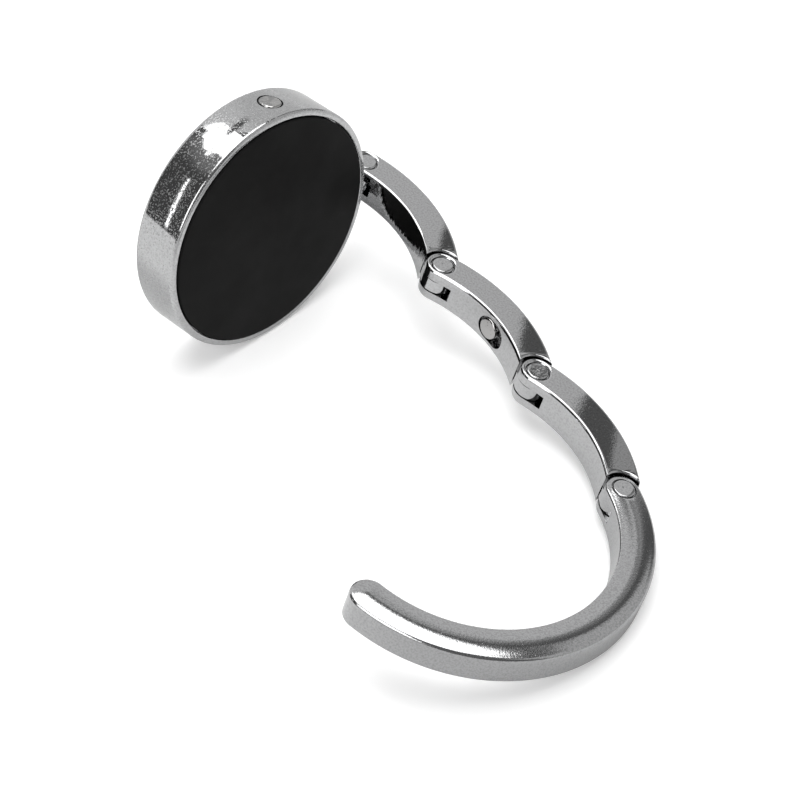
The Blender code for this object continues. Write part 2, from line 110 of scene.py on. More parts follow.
# How much rougher or smoother than the plating's own roughness a piece is
RIM_DULLNESS = 0.6
LINK_DULLNESS = 0.35
HOOK_DULLNESS = 2.2

# Marks that polishing leaves across the links' sides, with the edge and the height in metres
COMB_STRETCH = 0.25
COMB_EDGE = 0.0003
COMB_SCALE = 1600
COMB_HEIGHT = 0.000022

# How strongly the rim bulges between its edges
RIM_CROWN = 8.7

# For each link, how far its face leans outwards and onwards in degrees, and the slope of its sides
LINK_LEANS = ((2.5, 2.81), (0.6, 1.32), (0.0, -0.08))
SIDE_DRAFTS = (0.14, 0.0, 0.0)

# For each rivet, the same two leans of its head in degrees, then its pits
RIVET_LOOKS = (
    ((0, 0), (0.0002, 0.0000012)),
    ((0, 0), (0.0002, 0.0000020)),
    ((0, 5), (0.0005, 0.000100)),
    ((-3, -3), (0.0003, 0.0000030)),
)

# Where shade is painted on the floor, in metres: the middle of the change and half of its width
FRONT_SHADE = (-0.012, 0.022)
RIGHT_SHADE = (0.085, 0.04)
BACK_SHADE = (0.041, 0.004)
BACK_SHADE_EDGE = (-0.03, 0.01)

# How much less of that painted shade the camera sees than the object does
SHADE_LOSS = 0.85

# The nearest and the farthest that the camera sees, in metres
CAMERA_REACH = (0.01, 20)

# The room's panels: left, right, bottom, top and softness sideways and upwards in degrees, then brightness.
# A later panel stands in front of an earlier one.
PANELS = (
    ("far_paper", (-180, 180, -95, 1, 1, 1), 0.9),
    ("back_paper", (-78, 40, -95, 53, 0.5, 0.3), 0.9),
    ("back_shade", (-6, 40, 5, 53, 8, 8), 0.76),
    ("right_gap", (37, 100, 1, 57, 9, 0.3), 0.12),
    ("top_gap", (16, 100, 52.6, 57, 6, 0.3), 0.11),
    ("low_gap", (20, 45, 47, 53.5, 6, 0.6), 0.13),
    ("wedge_shade", (30.6, 35, 31, 42, 0.05, 2), 0.14),
    ("wedge_card", (32.1, 37, 31, 42, 0.05, 2), 0.47),
    ("card_gap", (33.4, 41, 39.6, 45, 0.7, 0.8), 0.17),
    ("right_paper", (52, 125, 1, 48, 3, 3), 0.63),
    ("left_gap", (-122, -61, 0.3, 62, 0.6, 0.3), 0.095),
    ("burst_shade", (-62, -37, 38, 50, 1.5, 1.5), 0.13),
    ("left_softbox", (-168, -130, 12, 52, 2, 2), 3.1),
    ("window_glow", (-84, -52, 46, 62, 6, 5), 0.30),
    ("window", (-39, -23, 47.5, 62, 0.6, 0.8), 4.1),
    ("window_middle", (-49, -38, 49.3, 62, 0.6, 0.8), 4.1),
    ("window_side", (-60, -48, 50.8, 62, 0.6, 0.8), 4.1),
    ("roof_softbox", (-62, 95, 57, 95, 1, 0.3), 3.25),
    ("roof_glow", (-180, 180, 64, 95, 3, 3), 3.25),
)

# Strips stand in front of the panels, and are cut to two limits along the disc's axis, with a softness
STRIPS = (
    ("strip_light", (-102.5, -88, 3, 50, 1, 2), (-0.583, -0.569, 0.0018), 4.1),
    ("strip_tail", (-66, -58, 3, 58, 1.5, 2), (-0.583, -0.567, 0.004), 4.1),
    ("dark_spike", (-33, -8, 38, 60, 5, 2), (-0.590, -0.562, 0.006), 0.14),
)


class BarSizes(PropertyGroup):
    """Sizes of the curved bars that make the chain."""

    width: FloatProperty(
        name="Bar Width", description="Across a bar, in the plane of the ring", default=0.00474,
        unit="LENGTH")
    height: FloatProperty(
        name="Bar Height", description="Across a bar, along its pins", default=0.00497, unit="LENGTH")
    link_arc: FloatProperty(
        name="Link Arc", description="Angle between a link's two pins", default=math.radians(60),
        unit="ROTATION")
    hook_arc: FloatProperty(
        name="Hook Arc", description="Angle that the hook bends through", default=math.radians(149),
        unit="ROTATION")
    link_edge: FloatProperty(
        name="Link Edge Radius", description="Rounding of a link's long edges", default=0.00045,
        unit="LENGTH")
    link_swell: FloatProperty(
        name="Link Side Swell", description="How much a link's side stands out in its middle",
        default=0.00009, unit="LENGTH")
    hook_crown: FloatProperty(
        name="Hook Crown", description="How much lower the hook's face lies at its edges than in the middle",
        default=0.0003, unit="LENGTH")
    hook_inner_edge: FloatProperty(
        name="Hook Inner Edge Radius", description="Rounding of the hook's inner edges", default=0.00035,
        unit="LENGTH")
    hook_outer_edge: FloatProperty(
        name="Hook Outer Edge Radius", description="Rounding of the hook's outer edges", default=0.0006,
        unit="LENGTH")
    cut_edge: FloatProperty(
        name="Cut Edge Width", description="Softening of the edges that slots and seats leave",
        default=0.00007, unit="LENGTH")


class DiscSizes(PropertyGroup):
    """Sizes of the disc and its pad."""

    radius: FloatProperty(
        name="Disc Radius", description="Radius of the rim", default=0.01747, unit="LENGTH")
    thickness: FloatProperty(
        name="Disc Thickness", description="From the back to the lip", default=0.0072, unit="LENGTH")
    lip: FloatProperty(
        name="Lip Width", description="Ring of metal in front, round the pad", default=0.00095,
        unit="LENGTH")
    front_edge: FloatProperty(
        name="Front Edge Radius", description="Rounding between rim and lip", default=0.0005, unit="LENGTH")
    back_edge: FloatProperty(
        name="Back Edge Radius", description="Rounding between rim and back", default=0.0007, unit="LENGTH")
    lip_edge: FloatProperty(
        name="Lip Edge Radius", description="Rounding of the lip next to the pad", default=0.00015,
        unit="LENGTH")
    wall: FloatProperty(
        name="Rim Wall", description="Wall of the rim behind the pad", default=0.00317, unit="LENGTH")
    back_wall: FloatProperty(
        name="Back Wall", description="Thickness of the back", default=0.0010, unit="LENGTH")
    ledge_depth: FloatProperty(
        name="Ledge Depth", description="From the lip's face to the ledge under the carrier", default=0.0016,
        unit="LENGTH")
    pad_proud: FloatProperty(
        name="Pad Height", description="How far the pad stands proud of the lip", default=0.0002,
        unit="LENGTH")
    pad_thickness: FloatProperty(
        name="Pad Thickness", description="Thickness of the rubber", default=0.0010, unit="LENGTH")
    pad_gap: FloatProperty(
        name="Pad Gap", description="Gap between the pad and the lip", default=0.00015, unit="LENGTH")
    pad_edge: FloatProperty(
        name="Pad Edge Radius", description="Rounding of the pad's edge", default=0.0002, unit="LENGTH")


class HingeSizes(PropertyGroup):
    """Sizes of the forks, tongues and rivets."""

    tongue: FloatProperty(
        name="Tongue Thickness", description="Thickness of a tongue along its pin", default=0.0018,
        unit="LENGTH")
    side_gap: FloatProperty(
        name="Tongue Side Gap", description="Gap between a tongue and each ear", default=0.00015,
        unit="LENGTH")
    end_inset: FloatProperty(
        name="Tongue Inset", description="How much narrower a tongue is than its bar, each side",
        default=0.0001, unit="LENGTH")
    ear_gap: FloatProperty(
        name="Ear Gap", description="Gap between an ear's round end and the link before it",
        default=0.0003, unit="LENGTH")
    slot_reach: FloatProperty(
        name="Slot Reach", description="How far a fork's slot runs past its pin", default=0.0026,
        unit="LENGTH")
    stop_angle: FloatProperty(
        name="Stop Angle", description="Opening for which the end of a link is cut away",
        default=math.radians(61), unit="ROTATION")
    stop_gap: FloatProperty(
        name="Stop Gap", description="Gap on each side of the opened ear", default=0.0001, unit="LENGTH")
    pin_radius: FloatProperty(
        name="Pin Radius", description="Radius of a rivet's shank", default=0.0009, unit="LENGTH")
    pin_gap: FloatProperty(
        name="Pin Clearance", description="Clearance round the shank", default=0.00006, unit="LENGTH")
    head_radius: FloatProperty(
        name="Head Radius", description="Radius of a rivet's head", default=0.00144, unit="LENGTH")
    head_thickness: FloatProperty(
        name="Head Thickness", description="Thickness of a rivet's head", default=0.0005, unit="LENGTH")
    head_sunk: FloatProperty(
        name="Head Depth", description="How far the head lies below the ear's face", default=0.00012,
        unit="LENGTH")
    head_edge: FloatProperty(
        name="Head Edge Radius", description="Rounding of the head's edge", default=0.0002, unit="LENGTH")
    head_gap: FloatProperty(
        name="Head Gap", description="Gap round the head", default=0.00012, unit="LENGTH")
    dimple_radius: FloatProperty(
        name="Dimple Radius", description="Radius of the mark that riveting leaves", default=0.00014,
        unit="LENGTH")
    dimple_depth: FloatProperty(
        name="Dimple Depth", description="Depth of the mark that riveting leaves", default=0.00002,
        unit="LENGTH")
    sink_flare: FloatProperty(
        name="Sink Flare", description="Rounding of the edge round a head's seat", default=0.00048,
        unit="LENGTH")
    room_flare: FloatProperty(
        name="Room Flare", description="Rounding of a link's edge next to the following ear",
        default=0.00024, unit="LENGTH")


class SwivelSizes(PropertyGroup):
    """Sizes of the lug that turns in the rim."""

    post_radius: FloatProperty(
        name="Post Radius", description="Radius of the post", default=0.00115, unit="LENGTH")
    post_gap: FloatProperty(
        name="Post Clearance", description="Clearance round the post", default=0.00008, unit="LENGTH")
    collar_radius: FloatProperty(
        name="Collar Radius", description="Radius of the collar outside the rim", default=0.0017,
        unit="LENGTH")
    collar_thickness: FloatProperty(
        name="Collar Thickness", description="Thickness of the collar", default=0.00022, unit="LENGTH")
    collar_gap: FloatProperty(
        name="Collar Gap", description="Gap between the rim and the collar, and at the washer",
        default=0.0001, unit="LENGTH")
    neck_width: FloatProperty(
        name="Neck Width", description="Width of the neck between collar and eye", default=0.0026,
        unit="LENGTH")
    washer: FloatProperty(
        name="Washer Thickness", description="Thickness of the washer behind the rim", default=0.0004,
        unit="LENGTH")
    head_length: FloatProperty(
        name="Post Head Length", description="Length of the formed head in the disc", default=0.0006,
        unit="LENGTH")
    head_overhang: FloatProperty(
        name="Post Head Overhang", description="How far the formed head stands out from the post",
        default=0.0003, unit="LENGTH")
    eye_edge: FloatProperty(
        name="Lug Edge Width", description="Softening of the lug's edges", default=0.00008, unit="LENGTH")


class MagnetSizes(PropertyGroup):
    """Sizes of the two magnets and their seats."""

    radius: FloatProperty(
        name="Magnet Radius", description="Radius of both magnets", default=0.00155, unit="LENGTH")
    rim_length: FloatProperty(
        name="Rim Magnet Length", description="Length of the magnet in the rim", default=0.0018,
        unit="LENGTH")
    link_length: FloatProperty(
        name="Link Magnet Length", description="Length of the magnet in the link", default=0.0013,
        unit="LENGTH")
    edge: FloatProperty(
        name="Magnet Edge Radius", description="Rounding of the magnets' edges", default=0.0003,
        unit="LENGTH")
    proud: FloatProperty(
        name="Magnet Height", description="How far a magnet stands out of its surface", default=0.00012,
        unit="LENGTH")
    side_gap: FloatProperty(
        name="Magnet Gap", description="Gap round a magnet", default=0.00018, unit="LENGTH")
    floor_gap: FloatProperty(
        name="Magnet Floor Gap", description="Gap under a magnet", default=0.00005, unit="LENGTH")
    rim_angle: FloatProperty(
        name="Rim Magnet Angle", description="From the post to the rim's magnet", default=math.radians(86),
        unit="ROTATION")
    link_angle: FloatProperty(
        name="Link Magnet Angle", description="From the second link's first pin to its magnet",
        default=math.radians(30), unit="ROTATION")
    pocket_length: FloatProperty(
        name="Pocket Length", description="Length of the pocket in the link's inner face", default=0.0050,
        unit="LENGTH")
    pocket_shift: FloatProperty(
        name="Pocket Shift", description="From the magnet's middle to the pocket's", default=0.0007,
        unit="LENGTH")
    dish_depth: FloatProperty(
        name="Magnet Dish Depth", description="Depth of the hollow in the rim magnet's face",
        default=0.00010, unit="LENGTH")


class Fineness(PropertyGroup):
    """How finely round shapes are divided."""

    disc: IntProperty(name="Disc Segments", description="Facets round the disc", default=240)
    pin: IntProperty(name="Pin Segments", description="Facets round a rivet, bore or magnet", default=72)
    edge: IntProperty(name="Edge Steps", description="Facets across a rounded edge", default=6)
    crown: IntProperty(name="Crown Steps", description="Facets across half of the hook's face", default=8)
    cap: IntProperty(name="Cap Steps", description="Facets round a bar's end", default=32)
    bend: FloatProperty(
        name="Bend Step", description="Angle between two sections of a bar", default=math.radians(1.25),
        unit="ROTATION")
    overrun: FloatProperty(
        name="Overrun", description="How far a cutter reaches past what it cuts", default=0.001,
        unit="LENGTH")
    sharp: FloatProperty(
        name="Sharp Angle", description="Edges that turn by more are shaded sharp",
        default=math.radians(32), unit="ROTATION")


class Finishes(PropertyGroup):
    """Colours and finishes."""

    plating: FloatVectorProperty(
        name="Plating", description="Colour of the polished plating", default=(0.49, 0.492, 0.497),
        min=0, max=1, subtype="COLOR")
    plating_speck: FloatVectorProperty(
        name="Plating Specks", description="Colour of the pinpricks in the plating", default=(0.3, 0.3, 0.3),
        min=0, max=1, subtype="COLOR")
    plating_roughness: FloatProperty(
        name="Plating Roughness", description="Roughness of the polished plating", default=0.06,
        min=0, max=1, subtype="FACTOR")
    rubber: FloatVectorProperty(
        name="Rubber", description="Colour of the pad", default=(0.0036, 0.0036, 0.0036),
        min=0, max=1, subtype="COLOR")
    dust: FloatVectorProperty(
        name="Dust", description="Colour of dust on the rubber", default=(0.02, 0.0195, 0.019),
        min=0, max=1, subtype="COLOR")
    nickel: FloatVectorProperty(
        name="Nickel", description="Colour of the magnets", default=(0.42, 0.415, 0.41),
        min=0, max=1, subtype="COLOR")
    steel: FloatVectorProperty(
        name="Steel", description="Colour of the plain steel parts", default=(0.45, 0.45, 0.46),
        min=0, max=1, subtype="COLOR")
    film: FloatVectorProperty(
        name="Adhesive Film", description="Colour of the film behind the pad", default=(0.75, 0.72, 0.6),
        min=0, max=1, subtype="COLOR")
    film_thin: FloatVectorProperty(
        name="Thin Film", description="Colour of the film where it is thin", default=(0.5, 0.48, 0.4),
        min=0, max=1, subtype="COLOR")


class Studio(PropertyGroup):
    """Camera, floor and lights."""

    camera_place: FloatVectorProperty(
        name="Camera Place", description="Where the camera stands", subtype="XYZ",
        default=(-0.165779, -0.162305, 0.235279))
    camera_azimuth: FloatProperty(
        name="Camera Azimuth", description="Direction the camera looks in, from +Y towards -X",
        default=math.radians(-45.19), unit="ROTATION")
    camera_elevation: FloatProperty(
        name="Camera Elevation", description="How far above the horizon the camera stands",
        default=math.radians(43.85), unit="ROTATION")
    lens: FloatProperty(
        name="Lens", description="Focal length in millimetres", default=115.36)
    floor_colour: FloatVectorProperty(
        name="Floor", description="Colour of the floor", default=(0.9, 0.9, 0.9), min=0, max=1,
        subtype="COLOR")
    floor_fibres: FloatVectorProperty(
        name="Floor Fibres", description="Colour of the fibres in the paper", default=(0.86, 0.86, 0.86),
        min=0, max=1, subtype="COLOR")
    # Colour of the shade painted on the floor in front, far to the right and behind the disc
    floor_painted_shade: FloatVectorProperty(
        name="Floor Shade", description="Colour of the floor in front and far to the right", min=0, max=1,
        default=(0.64, 0.64, 0.64), subtype="COLOR")
    floor_glow: FloatProperty(
        name="Floor Glow", description="How much brighter the camera sees the floor", default=0.25, min=0)
    floor_size: FloatProperty(
        name="Floor Size", description="Half the width of the floor", default=3.0, unit="LENGTH")
    room_strength: FloatProperty(
        name="Room Strength", description="Brightness of the room where no panel stands", default=0.18)


class PurseHook(PropertyGroup):
    """All that a user can set."""

    bars: PointerProperty(type=BarSizes)
    disc: PointerProperty(type=DiscSizes)
    hinges: PointerProperty(type=HingeSizes)
    swivel: PointerProperty(type=SwivelSizes)
    magnets: PointerProperty(type=MagnetSizes)
    fineness: PointerProperty(type=Fineness)
    finishes: PointerProperty(type=Finishes)
    studio: PointerProperty(type=Studio)


def joint_named(name):
    """The frame's joint of that name."""
    return next(joint for joint in frame["joints"] if joint["name"] == name)


def axes_at(place, across, along):
    """A matrix at a point, with X across and Z along."""
    across = across.normalized()
    along = along.normalized()
    side = along.cross(across)
    turned = Matrix((across, side, along)).transposed().to_4x4()
    return Matrix.Translation(place) @ turned


def post_direction():
    """Out of the rim along the swivel post."""
    return -Vector(joint_named("swivel")["axis"])


def disc_middle():
    """The middle of the disc."""
    low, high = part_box("disc_case")
    return (low + high) / 2


def disc_frame():
    """At the disc's middle: X along the post, Z out of the pad."""
    mounts = frame["record"]["mounts"]
    outwards = Vector(next(mount["axis"] for mount in mounts if mount["name"] == "pad_face"))
    return axes_at(disc_middle(), post_direction(), outwards)


def lug_frame():
    """At the disc's middle: X along the post, Z along the first pin."""
    return axes_at(disc_middle(), post_direction(), Vector(joint_named(HINGES[0])["axis"]))


def hinge_frames(sizes):
    """A frame on each pin: Z along it, X away from the middle of the bend of the piece that it carries."""
    pins = [Vector(joint_named(name)["pos_m"]) for name in HINGES]
    along = Vector(joint_named(HINGES[0])["axis"])
    to_chord = Matrix.Rotation(-QUARTER - sizes.link_arc / 2, 3, along)
    frames = [axes_at(pin, to_chord @ (after - pin), along) for pin, after in zip(pins, pins[1:])]
    closing = math.radians(joint_named(HINGES[-1])["range_deg"][1])
    across = Matrix.Rotation(sizes.link_arc - closing, 3, along) @ frames[-1].to_3x3().col[0]
    return frames + [axes_at(pins[-1], across, along)]


def ring_radius():
    """Radius of the circle of pins when the chain is closed: a link of sixty degrees is as long as it."""
    first = Vector(joint_named(HINGES[0])["pos_m"])
    return (Vector(joint_named(HINGES[1])["pos_m"]) - first).length


def mesh_from(name, build):
    """A mesh that the function build fills through bmesh, with its faces turned outwards."""
    made = bmesh.new()
    build(made)
    bmesh.ops.recalc_face_normals(made, faces=made.faces)
    mesh = bpy.data.meshes.new(name)
    made.to_mesh(mesh)
    made.free()
    return mesh


def rounded(corners, steps):
    """Points along corners of a radius, height and rounding each, with an arc in place of rounded ones."""
    points = []
    for index, (x, y, rounding) in enumerate(corners):
        if rounding == 0:
            points.append((x, y))
            continue
        here = Vector((x, y))
        before = (Vector(corners[index - 1][:2]) - here).normalized()
        after = (Vector(corners[index + 1][:2]) - here).normalized()
        half = before.angle(after) / 2
        centre = here + (before + after).normalized() * rounding / math.sin(half)
        start = here + before * rounding / math.tan(half) - centre
        end = here + after * rounding / math.tan(half) - centre
        turn = math.atan2(start.x * end.y - start.y * end.x, start.dot(end))
        for step in range(steps + 1):
            angle = turn * step / steps
            x_turned = start.x * math.cos(angle) - start.y * math.sin(angle)
            y_turned = start.x * math.sin(angle) + start.y * math.cos(angle)
            points.append((centre.x + x_turned, centre.y + y_turned))
    return points


def turned_mesh(name, profile, segments, place=Matrix.Identity(4)):
    """A solid turned about Z from points of radius and height that start and end on the axis."""

    def build(made):
        rings = []
        for radius, height in profile:
            if radius == 0:
                rings.append([made.verts.new((0, 0, height))])
                continue
            ring = []
            for step in range(segments):
                angle = 2 * math.pi * step / segments
                ring.append(made.verts.new((radius * math.cos(angle), radius * math.sin(angle), height)))
            rings.append(ring)
        for lower, upper in zip(rings, rings[1:]):
            for step in range(segments):
                following = (step + 1) % segments
                corners = [lower[step % len(lower)], lower[following % len(lower)]]
                corners += [upper[following % len(upper)], upper[step % len(upper)]]
                made.faces.new(list(dict.fromkeys(corners)))
        made.transform(place)

    return mesh_from(name, build)


def prism_mesh(name, outline, low, high, place=Matrix.Identity(4)):
    """A solid with one outline of points in X and Y between two heights."""

    def build(made):
        floor = [made.verts.new((x, y, low)) for x, y in outline]
        roof = [made.verts.new((x, y, high)) for x, y in outline]
        made.faces.new(floor)
        made.faces.new(roof)
        for index in range(len(outline)):
            following = (index + 1) % len(outline)
            made.faces.new((floor[index], floor[following], roof[following], roof[index]))
        made.transform(place)

    return mesh_from(name, build)


def rectangle(low_x, low_y, high_x, high_y):
    """The outline of a rectangle."""
    return [(low_x, low_y), (high_x, low_y), (high_x, high_y), (low_x, high_y)]


def cylinder(radius, low, high):
    """A cylinder's profile between two heights, from the axis out and back to it."""
    return [(0, low), (radius, low), (radius, high), (0, high)]


def half_section(half_width, half_height, edge_radius, fineness, crown=0.0, swell=0.0):
    """One side of a bar's section, from beside the middle of its top to beside the middle of its bottom.

    A crown is how much lower the face lies at its edge, and a swell how much further the side stands out
    in its middle.
    """
    flat = half_width - swell - edge_radius
    side = []
    if crown > 0:
        for step in range(1, fineness.crown):
            share = step / fineness.crown
            side.append((flat * share, half_height - crown * share ** 2))
    for step in range(fineness.edge + 1):
        angle = QUARTER * (1 - step / fineness.edge)
        height = half_height - crown - edge_radius + edge_radius * math.sin(angle)
        side.append((flat + edge_radius * math.cos(angle), height))
    middle = []
    if swell > 0:
        reach = side[-1][1]
        for step in range(1 - fineness.crown, fineness.crown):
            share = -step / fineness.crown
            middle.append((half_width - swell * share ** 2, reach * share))
    return side + middle + [(across, -height) for across, height in reversed(side)]


def bar_mesh(name, half_height, outer, inner, span, round_ends, fineness):
    """A bar bent round the ring's middle, which lies at minus the ring's radius along X.

    The sides away from the middle and next to it are given as half sections, and the span as its two
    angles. A round end swings the one side into the other through half a turn.
    """
    ring = ring_radius()
    start, end = span
    steps = round((end - start) / fineness.bend)
    count = len(outer)

    def place_at(angle, across, height):
        radius = ring + across
        return (radius * math.cos(angle) - ring, radius * math.sin(angle), height)

    def round_off(made, loop, angle, turn):
        """Close an end of the bar with a half round that turns one way or the other."""
        middle = Vector(place_at(angle, 0, 0))
        top, bottom = loop[0], loop[count + 1]
        before = loop[1:count + 1]
        for step in range(1, fineness.cap + 1):
            share = step / fineness.cap
            swing = angle + turn * math.pi * share
            after = []
            for (far, far_height), (near, near_height) in zip(outer, inner):
                across = far + (near - far) * share
                height = far_height + (near_height - far_height) * share
                x, y = middle.x + across * math.cos(swing), middle.y + across * math.sin(swing)
                after.append((x, y, height))
            if step == fineness.cap:
                after = list(reversed(loop[count + 2:]))
            else:
                after = [made.verts.new(point) for point in after]
            made.faces.new((top, before[0], after[0]))
            made.faces.new((bottom, after[-1], before[-1]))
            for index in range(count - 1):
                made.faces.new((before[index], before[index + 1], after[index + 1], after[index]))
            before = after

    def build(made):
        loops = []
        for step in range(steps + 1):
            angle = start + (end - start) * step / steps
            points = [place_at(angle, 0, half_height)]
            points += [place_at(angle, across, height) for across, height in outer]
            points.append(place_at(angle, 0, -half_height))
            points += [place_at(angle, -across, height) for across, height in reversed(inner)]
            loops.append([made.verts.new(point) for point in points])
        for loop, other in zip(loops, loops[1:]):
            for index in range(len(loop)):
                following = (index + 1) % len(loop)
                made.faces.new((loop[index], loop[following], other[following], other[index]))
        for loop, angle, turn, is_round in zip((loops[0], loops[-1]), span, (-1, 1), round_ends):
            if is_round:
                round_off(made, loop, angle, turn)
            else:
                made.faces.new(loop)

    return mesh_from(name, build)


def combined(name, base, steps):
    """Join and cut a mesh with others, in order, and drop the tools used for it."""
    made = bpy.data.objects.new(name, base)
    bpy.context.scene.collection.objects.link(made)
    tools = []
    for operation, mesh in steps:
        tool = bpy.data.objects.new(mesh.name, mesh)
        bpy.context.scene.collection.objects.link(tool)
        tools.append(tool)
        step = made.modifiers.new(mesh.name, "BOOLEAN")
        step.operation = operation
        step.solver = "EXACT"
        step.object = tool
    bpy.context.view_layer.update()
    seen = made.evaluated_get(bpy.context.evaluated_depsgraph_get())
    result = bpy.data.meshes.new_from_object(seen)
    result.name = name
    for thing in [made, *tools]:
        bpy.data.objects.remove(thing, do_unlink=True)
    return result


def note_place(mesh):
    """Keep each point's own place in an attribute, which the finishes read."""
    own = mesh.attributes.new(OWN_PLACE, "FLOAT_VECTOR", "POINT")
    for vertex, entry in zip(mesh.vertices, own.data):
        entry.vector = vertex.co


def placed(name, mesh, place, look, body, node):
    """Show a mesh as the piece that stands for a node, with smooth shading."""
    note_place(mesh)
    mesh.transform(place)
    piece = bpy.data.objects.new(name, mesh)
    bpy.context.scene.collection.objects.link(piece)
    mesh.materials.clear()
    mesh.materials.append(look)
    mesh.shade_smooth()
    mesh.set_sharp_from_angle(angle=bpy.context.scene.purse_hook.fineness.sharp)
    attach(piece, body)
    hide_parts(node)
    return piece


def soften(piece, width, sharp):
    """Break the sharp edges of a piece with a narrow rounding."""
    edges = piece.modifiers.new("soft_edges", "BEVEL")
    edges.width = width
    edges.segments = 2
    edges.limit_method = "ANGLE"
    edges.angle_limit = sharp
    edges.use_clamp_overlap = True
    edges.miter_outer = "MITER_ARC"
    normals = piece.modifiers.new("even_normals", "WEIGHTED_NORMAL")
    normals.keep_sharp = True
    return piece


def new_material(name):
    """A node material, its shader and its node tree."""
    made = bpy.data.materials.new(name)
    made.use_nodes = True
    return made, made.node_tree.nodes["Principled BSDF"], made.node_tree


def new_group(name, inputs, outputs):
    """A shader node group with named sockets, and the sockets inside it."""
    tree = bpy.data.node_groups.new(name, "ShaderNodeTree")
    for socket, kind, default in inputs:
        made = tree.interface.new_socket(socket, in_out="INPUT", socket_type=kind)
        if default is not None:
            made.default_value = default
    for socket, kind in outputs:
        tree.interface.new_socket(socket, in_out="OUTPUT", socket_type=kind)
    return tree, tree.nodes.new("NodeGroupInput").outputs, tree.nodes.new("NodeGroupOutput").inputs


def feed(tree, entry, value):
    """Give an input another node's output to follow, or a value to keep."""
    if isinstance(value, bpy.types.NodeSocket):
        tree.links.new(value, entry)
    else:
        entry.default_value = value


def joined(tree, operation, *values):
    """A math node of that operation, with sockets or numbers for its inputs, and its result."""
    node = tree.nodes.new("ShaderNodeMath")
    node.operation = operation
    for entry, value in zip(node.inputs, values):
        feed(tree, entry, value)
    return node.outputs[0]


def rise(tree, value, middle, softness):
    """From 0 below a middle value to 1 above it, smoothly over the softness to each side."""
    node = tree.nodes.new("ShaderNodeMapRange")
    node.interpolation_type = "SMOOTHSTEP"
    tree.links.new(value, node.inputs["Value"])
    node.inputs["From Min"].default_value = middle - softness
    node.inputs["From Max"].default_value = middle + softness
    return node.outputs["Result"]


def between(tree, value, low, high, softness):
    """1 between two values, and 0 outside them."""
    below = joined(tree, "SUBTRACT", 1, rise(tree, value, high, softness))
    return joined(tree, "MULTIPLY", rise(tree, value, low, softness), below)


def noise(tree, place, scale, detail):
    """A noise texture's value, centred on zero, from about -0.5 to 0.5."""
    node = tree.nodes.new("ShaderNodeTexNoise")
    tree.links.new(place, node.inputs["Vector"])
    feed(tree, node.inputs["Scale"], scale)
    node.inputs["Detail"].default_value = detail
    return joined(tree, "SUBTRACT", node.outputs[0], 0.5)


def cast_ripple():
    """The group that gives polished castings their slow waves and fine pits, as a height in metres."""
    if "cast_ripple" in bpy.data.node_groups:
        return bpy.data.node_groups["cast_ripple"]
    tree, given, wanted = new_group("cast_ripple", [
        ("Place", "NodeSocketVector", None),
        ("Wave Size", "NodeSocketFloat", 0.003),
        ("Wave Height", "NodeSocketFloat", 0.000004),
        ("Pit Size", "NodeSocketFloat", 0.0002),
        ("Pit Height", "NodeSocketFloat", 0.0000003),
    ], [("Height", "NodeSocketFloat")])
    wave_scale = joined(tree, "DIVIDE", 1, given["Wave Size"])
    pit_scale = joined(tree, "DIVIDE", 1, given["Pit Size"])
    waves = joined(tree, "MULTIPLY", noise(tree, given["Place"], wave_scale, detail=1), given["Wave Height"])
    pits = joined(tree, "MULTIPLY", noise(tree, given["Place"], pit_scale, detail=2), given["Pit Height"])
    tree.links.new(joined(tree, "ADD", waves, pits), wanted["Height"])
    return tree


def handling_haze():
    """The group that gives a surface its faint smears and pinpricks, as a roughness and a dulling mask."""
    if "handling_haze" in bpy.data.node_groups:
        return bpy.data.node_groups["handling_haze"]
    tree, given, wanted = new_group("handling_haze", [
        ("Place", "NodeSocketVector", None),
        ("Roughness", "NodeSocketFloat", 0.06),
        ("Smear", "NodeSocketFloat", 0.03),
        ("Pinpricks", "NodeSocketFloat", 0.3),
        ("Speck Scale", "NodeSocketFloat", 4200.0),
        ("Speck Level", "NodeSocketFloat", 0.25),
        ("Speck Roughness", "NodeSocketFloat", 0.2),
        ("Grain", "NodeSocketFloat", 0.0),
    ], [("Roughness", "NodeSocketFloat"), ("Dulling", "NodeSocketFloat")])
    smear = joined(tree, "MULTIPLY", noise(tree, given["Place"], SMEAR_SCALE, detail=3), given["Smear"])
    speck = noise(tree, given["Place"], given["Speck Scale"], detail=1)
    specks = rise(tree, joined(tree, "SUBTRACT", speck, given["Speck Level"]), 0, SPECK_EDGE)
    dulling = joined(tree, "MULTIPLY", specks, given["Pinpricks"])
    grain = joined(tree, "ADD", noise(tree, given["Place"], GRAIN_SCALE, detail=1), GRAIN_RAISE)
    grain = joined(tree, "MULTIPLY", grain, given["Grain"])
    tree.links.new(joined(tree, "ADD", dulling, joined(tree, "MAXIMUM", grain, 0)), wanted["Dulling"])
    rough = joined(tree, "ADD", given["Roughness"], smear)
    rough = joined(tree, "MAXIMUM", rough, LEAST_ROUGHNESS)
    rough = joined(tree, "ADD", rough, joined(tree, "MULTIPLY", specks, given["Speck Roughness"]))
    tree.links.new(rough, wanted["Roughness"])
    return tree


def placed_group(tree, group, values):
    """A group placed in a material, with values or sockets for its inputs."""
    node = tree.nodes.new("ShaderNodeGroup")
    node.node_tree = group
    for name, value in values.items():
        feed(tree, node.inputs[name], value)
    return node.outputs


def mixed(tree, share, first, second):
    """A colour between two others, by a share from 0 to 1."""
    node = tree.nodes.new("ShaderNodeMix")
    node.data_type = "RGBA"
    share_socket, first_socket, second_socket = (node.inputs[index] for index in (0, 6, 7))
    feed(tree, share_socket, share)
    for socket, colour in ((first_socket, first), (second_socket, second)):
        feed(tree, socket, colour if isinstance(colour, bpy.types.NodeSocket) else (*colour, 1))
    return node.outputs[2]


def own_place(tree):
    """The place of a point in its piece's own frame."""
    node = tree.nodes.new("ShaderNodeAttribute")
    node.attribute_name = OWN_PLACE
    return node.outputs["Vector"]


